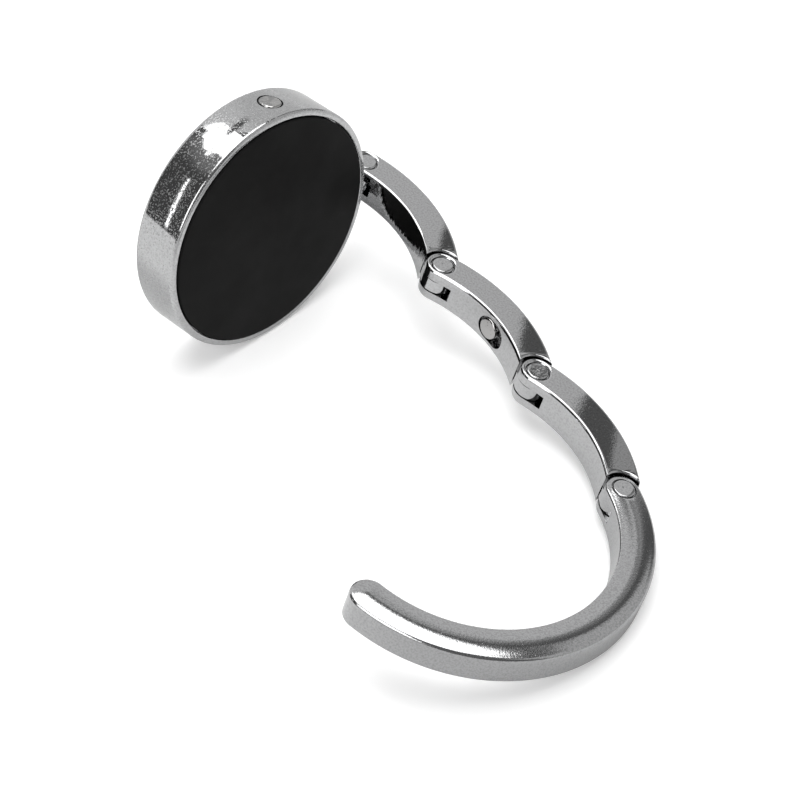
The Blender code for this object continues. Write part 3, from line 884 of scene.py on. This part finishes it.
def object_place(tree):
    """The place of a point in the frame, for the pieces that are shown as they were packed."""
    return tree.nodes.new("ShaderNodeTexCoord").outputs["Object"]


def coordinates(tree, vector):
    """The X, Y and Z of a vector."""
    node = tree.nodes.new("ShaderNodeSeparateXYZ")
    tree.links.new(vector, node.inputs["Vector"])
    return node.outputs


def vector_math(tree, operation, place, by):
    """A vector math node on a place and a second vector."""
    node = tree.nodes.new("ShaderNodeVectorMath")
    node.operation = operation
    tree.links.new(place, node.inputs[0])
    feed(tree, node.inputs[1], by)
    return node.outputs


def leaned(place, leans, angle=0.0):
    """The turn that leans a face at minus Z outwards from the ring and along the bar, by degrees for each.

    The turn is a vector in the frame's coordinates, along its axis and as long as its angle.
    """
    outwards = Vector((math.cos(angle), math.sin(angle), 0)) * math.radians(leans[0])
    onwards = Vector((-math.sin(angle), math.cos(angle), 0)) * math.radians(leans[1])
    return place.to_3x3() @ Vector((0, 0, -1)).cross(outwards + onwards)


def converted(tree, normal, source, target):
    """A normal taken from one space to another."""
    change = tree.nodes.new("ShaderNodeVectorTransform")
    change.vector_type = "NORMAL"
    change.convert_from = source
    change.convert_to = target
    tree.links.new(normal, change.inputs["Vector"])
    return change.outputs["Vector"]


def turned_normal(tree, turn):
    """The surface's normal after a small turn that moves with the piece."""
    normal = converted(tree, tree.nodes.new("ShaderNodeNewGeometry").outputs["Normal"], "WORLD", "OBJECT")
    change = vector_math(tree, "CROSS_PRODUCT", normal, -turn)["Vector"]
    return converted(tree, vector_math(tree, "ADD", normal, change)["Vector"], "OBJECT", "WORLD")


def side_comb(tree, place, draft):
    """A height for the marks that polishing leaves across a bar's sides, and not on its faces.

    A draft leans the sides towards the face at minus Z, by its slope.
    """
    along = vector_math(tree, "MULTIPLY", place, (1, 1, COMB_STRETCH))["Vector"]
    height = coordinates(tree, place)["Z"]
    level = joined(tree, "ABSOLUTE", height)
    half = bpy.context.scene.purse_hook.bars.height / 2
    inside = joined(tree, "SUBTRACT", 1, rise(tree, level, half - 2 * COMB_EDGE, COMB_EDGE))
    marks = joined(tree, "MULTIPLY", noise(tree, along, COMB_SCALE, detail=2), COMB_HEIGHT)
    marks = joined(tree, "MULTIPLY", marks, inside)
    return joined(tree, "ADD", marks, joined(tree, "MULTIPLY", height, draft))


def rim_crown(tree, place):
    """A height that makes the rim bulge slightly between its two edges."""
    height = coordinates(tree, place)["Z"]
    return joined(tree, "MULTIPLY", joined(tree, "MULTIPLY", height, height), -RIM_CROWN)


def rippled(tree, shader, place, wave, pit, extra=None, normal=None):
    """Shape the shading with waves and pits, and with what else gives a height in metres at a place."""
    values = {"Place": place, "Wave Size": wave[0], "Wave Height": wave[1]}
    values.update({"Pit Size": pit[0], "Pit Height": pit[1]})
    height = placed_group(tree, cast_ripple(), values)["Height"]
    if extra is not None:
        height = joined(tree, "ADD", height, extra(tree, place))
    bump = tree.nodes.new("ShaderNodeBump")
    bump.inputs["Distance"].default_value = 1
    tree.links.new(height, bump.inputs["Height"])
    if normal is not None:
        tree.links.new(normal, bump.inputs["Normal"])
    tree.links.new(bump.outputs["Normal"], shader.inputs["Normal"])


def hazed(tree, shader, values, clean, dull):
    """Give a shader the roughness and the colour of a handled surface, and return the colour."""
    haze = placed_group(tree, handling_haze(), values)
    tree.links.new(haze["Roughness"], shader.inputs["Roughness"])
    tint = mixed(tree, haze["Dulling"], clean, dull)
    tree.links.new(tint, shader.inputs["Base Color"])
    return tint


def plated(name, turn=None, dullness=1.0, wave=WAVE, pit=PIT, extra=None, specks=PLATING_HAZE):
    """Polished plating on a casting, with its waves and pits, faint smears and a slight lean."""
    finishes = bpy.context.scene.purse_hook.finishes
    made, shader, tree = new_material(name)
    place = own_place(tree)
    normal = None if turn is None else turned_normal(tree, turn)
    rippled(tree, shader, place, wave, pit, extra, normal)
    values = {"Place": place, "Roughness": finishes.plating_roughness * dullness, "Grain": PLATING_GRAIN}
    hazed(tree, shader, {**values, **specks}, finishes.plating, finishes.plating_speck)
    shader.inputs["Metallic"].default_value = 1
    return made


def magnet_finish(name, pit, stains):
    """Nickel that rolling and handling have dimpled, with dull smears."""
    finishes = bpy.context.scene.purse_hook.finishes
    made, shader, tree = new_material(name)
    place = own_place(tree)
    rippled(tree, shader, place, WAVE, pit)
    values = {"Place": place, **MAGNET_HAZE, **stains}
    hazed(tree, shader, values, finishes.nickel, finishes.plating_speck)
    shader.inputs["Metallic"].default_value = 1
    return made


def rubber_finish(name):
    """Moulded rubber with a fine grain, and a little dust that lightens it."""
    finishes = bpy.context.scene.purse_hook.finishes
    made, shader, tree = new_material(name)
    place = own_place(tree)
    rippled(tree, shader, place, RUBBER_WAVE, RUBBER_GRAIN)
    hazed(tree, shader, {"Place": place, **RUBBER_HAZE}, finishes.rubber, finishes.dust)
    shader.inputs["Specular IOR Level"].default_value = RUBBER_SHINE
    return made


def steel_finish(name):
    """Plain sheet steel with the lines that rolling leaves, and dull stains."""
    finishes = bpy.context.scene.purse_hook.finishes
    made, shader, tree = new_material(name)
    along = vector_math(tree, "MULTIPLY", object_place(tree), ROLLING)["Vector"]
    rippled(tree, shader, along, STEEL_WAVE, STEEL_PIT)
    hazed(tree, shader, {"Place": along, **STEEL_HAZE}, finishes.steel, finishes.plating_speck)
    shader.inputs["Metallic"].default_value = 1
    return made


def film_finish(name):
    """A film of adhesive, mottled where it holds and where it doesn't."""
    finishes = bpy.context.scene.purse_hook.finishes
    made, shader, tree = new_material(name)
    place = object_place(tree)
    rippled(tree, shader, place, FILM_WAVE, FILM_PIT)
    hazed(tree, shader, {"Place": place, **FILM_HAZE}, finishes.film, finishes.film_thin)
    return made


def paper_finish(name):
    """The floor's white paper with painted shade in front, far to the right and behind the disc; the camera sees
    the paper a little brighter, and with less of that shade, than the object does.
    """
    studio = bpy.context.scene.purse_hook.studio
    made, shader, tree = new_material(name)
    place = object_place(tree)
    rippled(tree, shader, place, PAPER_WAVE, PAPER_PIT)
    tint = hazed(tree, shader, {"Place": place, **PAPER_HAZE}, studio.floor_colour, studio.floor_fibres)
    across, away, _ = coordinates(tree, place)
    # Painted shade: the floor's colour darkens in front, far to the right and behind the disc
    front = joined(tree, "SUBTRACT", 1, rise(tree, away, *FRONT_SHADE))
    behind = rise(tree, away, *BACK_SHADE)
    behind = joined(tree, "MULTIPLY", behind, rise(tree, across, *BACK_SHADE_EDGE))
    shade = joined(tree, "MAXIMUM", front, rise(tree, across, *RIGHT_SHADE))
    shade = joined(tree, "MAXIMUM", shade, behind)
    seen = tree.nodes.new("ShaderNodeLightPath").outputs["Is Camera Ray"]
    kept = joined(tree, "SUBTRACT", 1, joined(tree, "MULTIPLY", seen, SHADE_LOSS))
    shade = joined(tree, "MULTIPLY", shade, kept)
    tree.links.new(mixed(tree, shade, tint, studio.floor_painted_shade), shader.inputs["Base Color"])
    shader.inputs["Specular IOR Level"].default_value = 0
    shader.inputs["Emission Color"].default_value = (1, 1, 1, 1)
    tree.links.new(joined(tree, "MULTIPLY", seen, studio.floor_glow), shader.inputs["Emission Strength"])
    return made


def panel_mask(tree, azimuth, elevation, panel):
    """Where a panel stands in the studio, as seen from the object."""
    left, right, bottom, top, soft_sideways, soft_upwards = (math.radians(angle) for angle in panel)
    sideways = between(tree, azimuth, left, right, soft_sideways)
    return joined(tree, "MULTIPLY", sideways, between(tree, elevation, bottom, top, soft_upwards))


def studio_air(studio):
    """The world round the object: paper behind, a softbox overhead, and dark gaps at the sides."""
    world = bpy.data.worlds.new("studio_air")
    world.use_nodes = True
    tree = world.node_tree
    where = tree.nodes.new("ShaderNodeTexCoord").outputs["Generated"]
    turn = tree.nodes.new("ShaderNodeVectorRotate")
    turn.rotation_type = "Z_AXIS"
    turn.inputs["Angle"].default_value = -studio.camera_azimuth
    tree.links.new(where, turn.inputs["Vector"])
    sideways, forwards, upwards = coordinates(tree, turn.outputs["Vector"])
    azimuth = joined(tree, "ARCTAN2", sideways, forwards)
    elevation = joined(tree, "ARCSINE", upwards)
    strength = studio.room_strength
    masks = [(name, panel_mask(tree, azimuth, elevation, panel), level) for name, panel, level in PANELS]
    along_disc = vector_math(tree, "DOT_PRODUCT", where, disc_frame().to_3x3().col[2])["Value"]
    for name, panel, strip, level in STRIPS:
        line = between(tree, along_disc, *strip)
        mask = joined(tree, "MULTIPLY", line, panel_mask(tree, azimuth, elevation, panel))
        masks.append((name, mask, level))
    for name, mask, level in masks:
        mask.node.label = name
        mix = tree.nodes.new("ShaderNodeMix")
        tree.links.new(mask, mix.inputs["Factor"])
        feed(tree, mix.inputs["A"], strength)
        mix.inputs["B"].default_value = level
        strength = mix.outputs["Result"]
    background = tree.nodes["Background"]
    background.inputs["Color"].default_value = (1, 1, 1, 1)
    tree.links.new(strength, background.inputs["Strength"])
    return world


def case_mesh(settings):
    """The cast disc: rim, lip and back in one, hollow behind the pad."""
    disc, swivel, magnets, fineness = settings.disc, settings.swivel, settings.magnets, settings.fineness
    half = disc.thickness / 2
    recess = disc.radius - disc.lip
    cavity = disc.radius - disc.wall
    ledge = half - disc.ledge_depth
    corners = [(0, -half, 0), (disc.radius, -half, disc.back_edge), (disc.radius, half, disc.front_edge)]
    corners += [(recess, half, disc.lip_edge), (recess, ledge, 0), (cavity, ledge, 0)]
    corners += [(cavity, disc.back_wall - half, 0), (0, disc.back_wall - half, 0)]
    body = turned_mesh("case", rounded(corners, fineness.edge), fineness.disc)
    outside = disc.radius + fineness.overrun
    bore = cylinder(swivel.post_radius + swivel.post_gap, cavity - fineness.overrun, outside)
    seat_floor = disc.radius + magnets.proud - magnets.rim_length - magnets.floor_gap
    seat = cylinder(magnets.radius + magnets.side_gap, seat_floor, outside)
    at_magnet = Matrix.Rotation(magnets.rim_angle, 4, "Z") @ ALONG_X
    return combined("case", body, [
        ("DIFFERENCE", turned_mesh("post_bore", bore, fineness.pin, ALONG_X)),
        ("DIFFERENCE", turned_mesh("magnet_seat", seat, fineness.pin, at_magnet)),
    ])


def pad_mesh(settings):
    """The rubber pad with its rounded edge."""
    disc, fineness = settings.disc, settings.fineness
    top = disc.thickness / 2 + disc.pad_proud
    radius = disc.radius - disc.lip - disc.pad_gap
    corners = [(0, top - disc.pad_thickness, 0), (radius, top - disc.pad_thickness, 0)]
    corners += [(radius, top, disc.pad_edge), (0, top, 0)]
    return turned_mesh("pad", rounded(corners, fineness.edge), fineness.disc)


def rim_magnet_mesh(settings):
    """The plug magnet in the rim, with a slightly hollow face."""
    disc, magnets, fineness = settings.disc, settings.magnets, settings.fineness
    top = disc.radius + magnets.proud
    corners = [(0, top - magnets.rim_length, 0), (magnets.radius, top - magnets.rim_length, magnets.edge)]
    corners += [(magnets.radius, top, magnets.edge), (0, top - magnets.dish_depth, 0)]
    place = Matrix.Rotation(magnets.rim_angle, 4, "Z") @ ALONG_X
    return turned_mesh("rim_magnet_plug", rounded(corners, fineness.edge), fineness.pin, place)


def link_magnet_place(settings):
    """A frame at the ring's middle, in the second link, whose Z points out through the magnet."""
    turn = Matrix.Rotation(settings.magnets.link_angle, 4, "Z")
    return Matrix.Translation((-ring_radius(), 0, 0)) @ turn @ ALONG_X


def link_magnet_mesh(settings):
    """The magnet in the second link."""
    magnets, fineness = settings.magnets, settings.fineness
    low = ring_radius() - settings.bars.width / 2 - magnets.proud
    high = low + magnets.link_length
    corners = [(0, low, 0), (magnets.radius, low, magnets.edge)]
    corners += [(magnets.radius, high, magnets.edge), (0, high, 0)]
    profile = rounded(corners, fineness.edge)
    return turned_mesh("link_magnet_plug", profile, fineness.pin, link_magnet_place(settings))


def lug_mesh(settings):
    """The lug: an eye for the first rivet on a post that turns in the rim."""
    disc, swivel, hinges, fineness = settings.disc, settings.swivel, settings.hinges, settings.fineness
    head = swivel.post_radius + swivel.head_overhang
    head_top = disc.radius - disc.wall - 2 * swivel.collar_gap - swivel.washer
    head_bottom = head_top - swivel.head_length
    collar = disc.radius + swivel.collar_gap
    collar_top = collar + swivel.collar_thickness
    corners = [(0, head_bottom, 0), (head, head_bottom, swivel.eye_edge), (head, head_top, 0)]
    corners += [(swivel.post_radius, head_top, 0), (swivel.post_radius, collar, 0)]
    corners += [(swivel.collar_radius, collar, 0), (swivel.collar_radius, collar_top, swivel.eye_edge)]
    corners += [(0, collar_top, 0)]
    post = turned_mesh("post", rounded(corners, fineness.edge), fineness.pin, ALONG_X)
    ring = ring_radius()
    offset = disc.thickness / 2 - settings.bars.height / 2
    eye_radius = settings.bars.width / 2 - hinges.end_inset
    half_neck = swivel.neck_width / 2
    inside = (collar + collar_top) / 2 - ring
    outline = [(inside, half_neck), (inside, -half_neck)]
    meeting = math.pi - math.asin(half_neck / eye_radius)
    for step in range(fineness.pin + 1):
        angle = meeting * (2 * step / fineness.pin - 1)
        outline.append((eye_radius * math.cos(angle), eye_radius * math.sin(angle)))
    at_eye = Matrix.Translation((ring, 0, offset))
    bore = cylinder(hinges.pin_radius + hinges.pin_gap, -settings.bars.height, settings.bars.height)
    return combined("lug", post, [
        ("UNION", prism_mesh("eye", outline, -hinges.tongue / 2, hinges.tongue / 2, at_eye)),
        ("DIFFERENCE", turned_mesh("eye_bore", bore, fineness.pin, at_eye)),
    ])


def flared(radius, height, flare, fineness):
    """The upper end of a turned cutter that leaves a rounded edge round its hole, up to the axis."""
    points = []
    for step in range(fineness.edge + 1):
        angle = math.pi - QUARTER * step / fineness.edge
        points.append((radius + flare + flare * math.cos(angle), height - flare + flare * math.sin(angle)))
    return points + [(radius + flare, height + fineness.overrun), (0, height + fineness.overrun)]


def hinge_cutter(settings):
    """What a hinge takes out of a fork's ears: the shank's bore and a countersunk seat on each face."""
    hinges, half = settings.hinges, settings.bars.height / 2
    bore = hinges.pin_radius + hinges.pin_gap
    seat = half - hinges.head_sunk - hinges.head_thickness - hinges.pin_gap
    seat_radius = hinges.head_radius + hinges.head_gap
    upper = [(bore, seat), (seat_radius, seat)]
    upper += flared(seat_radius, half, hinges.sink_flare, settings.fineness)
    lower = [(radius, -height) for radius, height in reversed(upper)]
    return turned_mesh("hinge_cutter", lower + upper, settings.fineness.pin)


def slot_cutter(settings):
    """The slot that lets a tongue into a fork."""
    hinges, width = settings.hinges, settings.bars.width
    half = hinges.tongue / 2 + hinges.side_gap
    return prism_mesh("slot", rectangle(-width, -width, width, hinges.slot_reach), -half, half)


def next_pin(settings):
    """Where the next pin's frame stands in a link's frame, with the links closed."""
    ring, arc = ring_radius(), settings.bars.link_arc
    shift = Matrix.Translation((ring * (math.cos(arc) - 1), ring * math.sin(arc), 0))
    return shift @ Matrix.Rotation(arc, 4, "Z")


def pocket_mesh(settings):
    """The long round-ended pocket in the second link's inner face."""
    magnets, fineness = settings.magnets, settings.fineness
    end_radius = magnets.radius + magnets.side_gap
    reach = magnets.pocket_length / 2 - end_radius
    inner = ring_radius() - settings.bars.width / 2
    floor = inner - magnets.proud + magnets.link_length + magnets.floor_gap
    outline = []
    for step in range(fineness.pin):
        angle = 2 * math.pi * (step + 0.5) / fineness.pin
        along = magnets.pocket_shift + end_radius * math.sin(angle) + math.copysign(reach, math.sin(angle))
        outline.append((end_radius * math.cos(angle), along))
    return prism_mesh("pocket", outline, inner - fineness.overrun, floor, link_magnet_place(settings))


def link_mesh(name, settings, extra_steps=()):
    """A link with a fork at the origin and a tongue at the next pin."""
    bars, hinges, fineness = settings.bars, settings.hinges, settings.fineness
    half_width, half_height = bars.width / 2, bars.height / 2
    pin = next_pin(settings)
    side = half_section(half_width, half_height, bars.link_edge, fineness, swell=bars.link_swell)
    bar = bar_mesh(name, half_height, side, side, (0, bars.link_arc), (True, False), fineness)
    room = half_width + hinges.ear_gap
    roof = flared(room, half_height, hinges.room_flare, fineness)
    ear_room = [(radius, -height) for radius, height in reversed(roof)] + roof
    stop_side = half_width + hinges.stop_gap
    opened = pin @ Matrix.Rotation(-hinges.stop_angle, 4, "Z")
    stop_outline = rectangle(-stop_side, 0, stop_side, bars.width)
    half_tongue = hinges.tongue / 2
    across = half_width - hinges.end_inset
    flat = [(across, half_tongue), (across, -half_tongue)]
    tongue_span = (bars.link_arc - bars.width / ring_radius(), bars.link_arc)
    tongue = bar_mesh("tongue", half_tongue, flat, flat, tongue_span, (False, True), fineness)
    bore = cylinder(hinges.pin_radius + hinges.pin_gap, -bars.height, bars.height)
    return combined(name, bar, [
        ("DIFFERENCE", turned_mesh("ear_room", ear_room, fineness.pin, pin)),
        ("DIFFERENCE", prism_mesh("stop", stop_outline, -bars.height, bars.height, opened)),
        ("UNION", tongue),
        ("DIFFERENCE", slot_cutter(settings)),
        ("DIFFERENCE", hinge_cutter(settings)),
        ("DIFFERENCE", turned_mesh("tongue_bore", bore, fineness.pin, pin)),
        *extra_steps,
    ])


def rivet_mesh(settings):
    """A rivet with a sunk flat head at each end and the mark of the riveting tool in its middle."""
    hinges, fineness = settings.hinges, settings.fineness
    top = settings.bars.height / 2 - hinges.head_sunk
    bottom = top - hinges.head_thickness
    corners = [(hinges.pin_radius, bottom, 0), (hinges.head_radius, bottom, 0)]
    corners += [(hinges.head_radius, top, hinges.head_edge), (hinges.dimple_radius, top, 0)]
    corners += [(0, top - hinges.dimple_depth, 0)]
    lower = [(radius, -height, rounding) for radius, height, rounding in reversed(corners)]
    return turned_mesh("rivet", rounded(lower + corners, fineness.edge), fineness.pin)


def hook_mesh(settings):
    """The hook: a fork, a long round bend with a crowned face, and a rounded tip."""
    bars, fineness = settings.bars, settings.fineness
    half_width, half_height = bars.width / 2, bars.height / 2
    outer = half_section(half_width, half_height, bars.hook_outer_edge, fineness, bars.hook_crown)
    inner = half_section(half_width, half_height, bars.hook_inner_edge, fineness, bars.hook_crown)
    bar = bar_mesh("hook_bend", half_height, outer, inner, (0, bars.hook_arc), (True, True), fineness)
    return combined("hook_bend", bar, [
        ("DIFFERENCE", slot_cutter(settings)),
        ("DIFFERENCE", hinge_cutter(settings)),
    ])


class PURSEHOOK_OT_disc(Operator):
    """Build the disc's case and its rubber pad"""

    bl_idname = "purse_hook.disc"
    bl_label = "Disc"

    def execute(self, context):
        settings = context.scene.purse_hook
        place = disc_frame()
        look = plated("case_plating", None, RIM_DULLNESS, RIM_WAVE, RIM_PIT, rim_crown, RIM_HAZE)
        case = placed("polished_case", case_mesh(settings), place, look, "disc", "disc_case")
        soften(case, settings.bars.cut_edge, settings.fineness.sharp)
        rubber = rubber_finish("pad_rubber")
        placed("grip_pad", pad_mesh(settings), place, rubber, "disc", "rubber_pad")
        return {"FINISHED"}


class PURSEHOOK_OT_magnets(Operator):
    """Build the magnet in the rim and the one in the second link"""

    bl_idname = "purse_hook.magnets"
    bl_label = "Magnets"

    def execute(self, context):
        settings = context.scene.purse_hook
        plug = magnet_finish("rim_magnet_nickel", PLUG_PIT, PLUG_STAINS)
        nickel = magnet_finish("link_magnet_nickel", MAGNET_PIT, MAGNET_STAINS)
        placed("rim_plug", rim_magnet_mesh(settings), disc_frame(), plug, "disc", "rim_magnet")
        place = hinge_frames(settings.bars)[1]
        placed("link_plug", link_magnet_mesh(settings), place, nickel, "link_two", "link_magnet")
        return {"FINISHED"}


class PURSEHOOK_OT_swivel(Operator):
    """Build the lug that turns in the rim"""

    bl_idname = "purse_hook.swivel"
    bl_label = "Swivel Lug"

    def execute(self, context):
        settings = context.scene.purse_hook
        look = plated("lug_plating")
        lug = placed("turning_lug", lug_mesh(settings), lug_frame(), look, "lug", "swivel_lug")
        soften(lug, settings.swivel.eye_edge, settings.fineness.sharp)
        return {"FINISHED"}


class PURSEHOOK_OT_links(Operator):
    """Build the three links"""

    bl_idname = "purse_hook.links"
    bl_label = "Links"

    def execute(self, context):
        settings = context.scene.purse_hook
        places = hinge_frames(settings.bars)
        for number, (place, body) in enumerate(zip(places[:-1], HINGE_BODIES), start=1):
            extra = [("DIFFERENCE", pocket_mesh(settings))] if number == 2 else []
            mesh = link_mesh(f"link_bar_{number}", settings, extra)
            turn = leaned(place, LINK_LEANS[number - 1], settings.bars.link_arc / 2)
            comb = functools.partial(side_comb, draft=SIDE_DRAFTS[number - 1])
            look = plated(f"link_{number}_plating", turn, LINK_DULLNESS, LINK_WAVE, LINK_PIT, comb)
            link = placed(f"link_bar_{number}", mesh, place, look, body, f"link_{number}")
            soften(link, settings.bars.cut_edge, settings.fineness.sharp)
        return {"FINISHED"}


class PURSEHOOK_OT_rivets(Operator):
    """Build the rivet of each hinge"""

    bl_idname = "purse_hook.rivets"
    bl_label = "Rivets"

    def execute(self, context):
        settings = context.scene.purse_hook
        places = hinge_frames(settings.bars)
        for number, (place, body) in enumerate(zip(places, HINGE_BODIES), start=1):
            leans, pit = RIVET_LOOKS[number - 1]
            look = plated(f"rivet_{number}_plating", turn=leaned(place, leans), pit=pit)
            placed(f"rivet_{number}", rivet_mesh(settings), place, look, body, f"hinge_rivet_{number}")
        return {"FINISHED"}


class PURSEHOOK_OT_hook(Operator):
    """Build the hook"""

    bl_idname = "purse_hook.hook"
    bl_label = "Hook"

    def execute(self, context):
        settings = context.scene.purse_hook
        place = hinge_frames(settings.bars)[-1]
        look = plated("hook_plating", dullness=HOOK_DULLNESS, pit=HOOK_PIT)
        hook = placed("hook_bend", hook_mesh(settings), place, look, "hook", "hook")
        soften(hook, settings.bars.cut_edge, settings.fineness.sharp)
        return {"FINISHED"}


class PURSEHOOK_OT_inner_parts(Operator):
    """Finish the parts that are hidden in the disc"""

    bl_idname = "purse_hook.inner_parts"
    bl_label = "Inner Parts"

    def execute(self, context):
        steel = steel_finish("plain_steel")
        film = film_finish("adhesive_film")
        for name, look in (("pad_carrier", steel), ("swivel_washer", steel), ("pad_adhesive", film)):
            node = frame["nodes"][name]
            node.data.materials.clear()
            node.data.materials.append(look)
        return {"FINISHED"}


class PURSEHOOK_OT_stage(Operator):
    """Build the floor, the lights and the camera"""

    bl_idname = "purse_hook.stage"
    bl_label = "Stage"

    def execute(self, context):
        scene = context.scene
        studio = scene.purse_hook.studio
        half = studio.floor_size
        outline = rectangle(-half, -half, half, half)

        def build(made):
            made.faces.new([made.verts.new((x, y, 0)) for x, y in outline])

        floor = bpy.data.objects.new("floor", mesh_from("floor", build))
        scene.collection.objects.link(floor)
        floor.data.materials.append(paper_finish("floor_paper"))
        camera = bpy.data.objects.new("camera", bpy.data.cameras.new("camera"))
        scene.collection.objects.link(camera)
        camera.data.lens = studio.lens
        camera.data.clip_start, camera.data.clip_end = CAMERA_REACH
        camera.location = studio.camera_place
        camera.rotation_euler = (QUARTER - studio.camera_elevation, 0, studio.camera_azimuth)
        scene.camera = camera
        scene.world = studio_air(studio)
        scene.view_settings.view_transform = "Standard"
        return {"FINISHED"}


class PURSEHOOK_PT_panel(Panel):
    """Lists the purse hook's operators in the sidebar"""

    bl_label = "Purse Hook"
    bl_idname = "PURSEHOOK_PT_panel"
    bl_space_type = "VIEW_3D"
    bl_region_type = "UI"
    bl_category = "Purse Hook"

    def draw(self, context):
        for operator in OPERATORS:
            self.layout.operator(operator.bl_idname)


GROUPS = (BarSizes, DiscSizes, HingeSizes, SwivelSizes, MagnetSizes, Fineness, Finishes, Studio, PurseHook)
OPERATORS = (
    PURSEHOOK_OT_stage,
    PURSEHOOK_OT_disc,
    PURSEHOOK_OT_magnets,
    PURSEHOOK_OT_swivel,
    PURSEHOOK_OT_links,
    PURSEHOOK_OT_rivets,
    PURSEHOOK_OT_hook,
    PURSEHOOK_OT_inner_parts,
)


def register():
    """Register the classes and hang the settings on the scene."""
    for kind in (*GROUPS, *OPERATORS, PURSEHOOK_PT_panel):
        bpy.utils.register_class(kind)
    bpy.types.Scene.purse_hook = PointerProperty(type=PurseHook)


def unregister():
    """Take the settings and the classes away again."""
    del bpy.types.Scene.purse_hook
    for kind in (PURSEHOOK_PT_panel, *reversed(OPERATORS), *reversed(GROUPS)):
        bpy.utils.unregister_class(kind)


def main():
    """Build everything."""
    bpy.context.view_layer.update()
    register()
    bpy.ops.purse_hook.stage()
    bpy.ops.purse_hook.disc()
    bpy.ops.purse_hook.magnets()
    bpy.ops.purse_hook.swivel()
    bpy.ops.purse_hook.links()
    bpy.ops.purse_hook.rivets()
    bpy.ops.purse_hook.hook()
    bpy.ops.purse_hook.inner_parts()


if __name__ == "__main__":
    main()
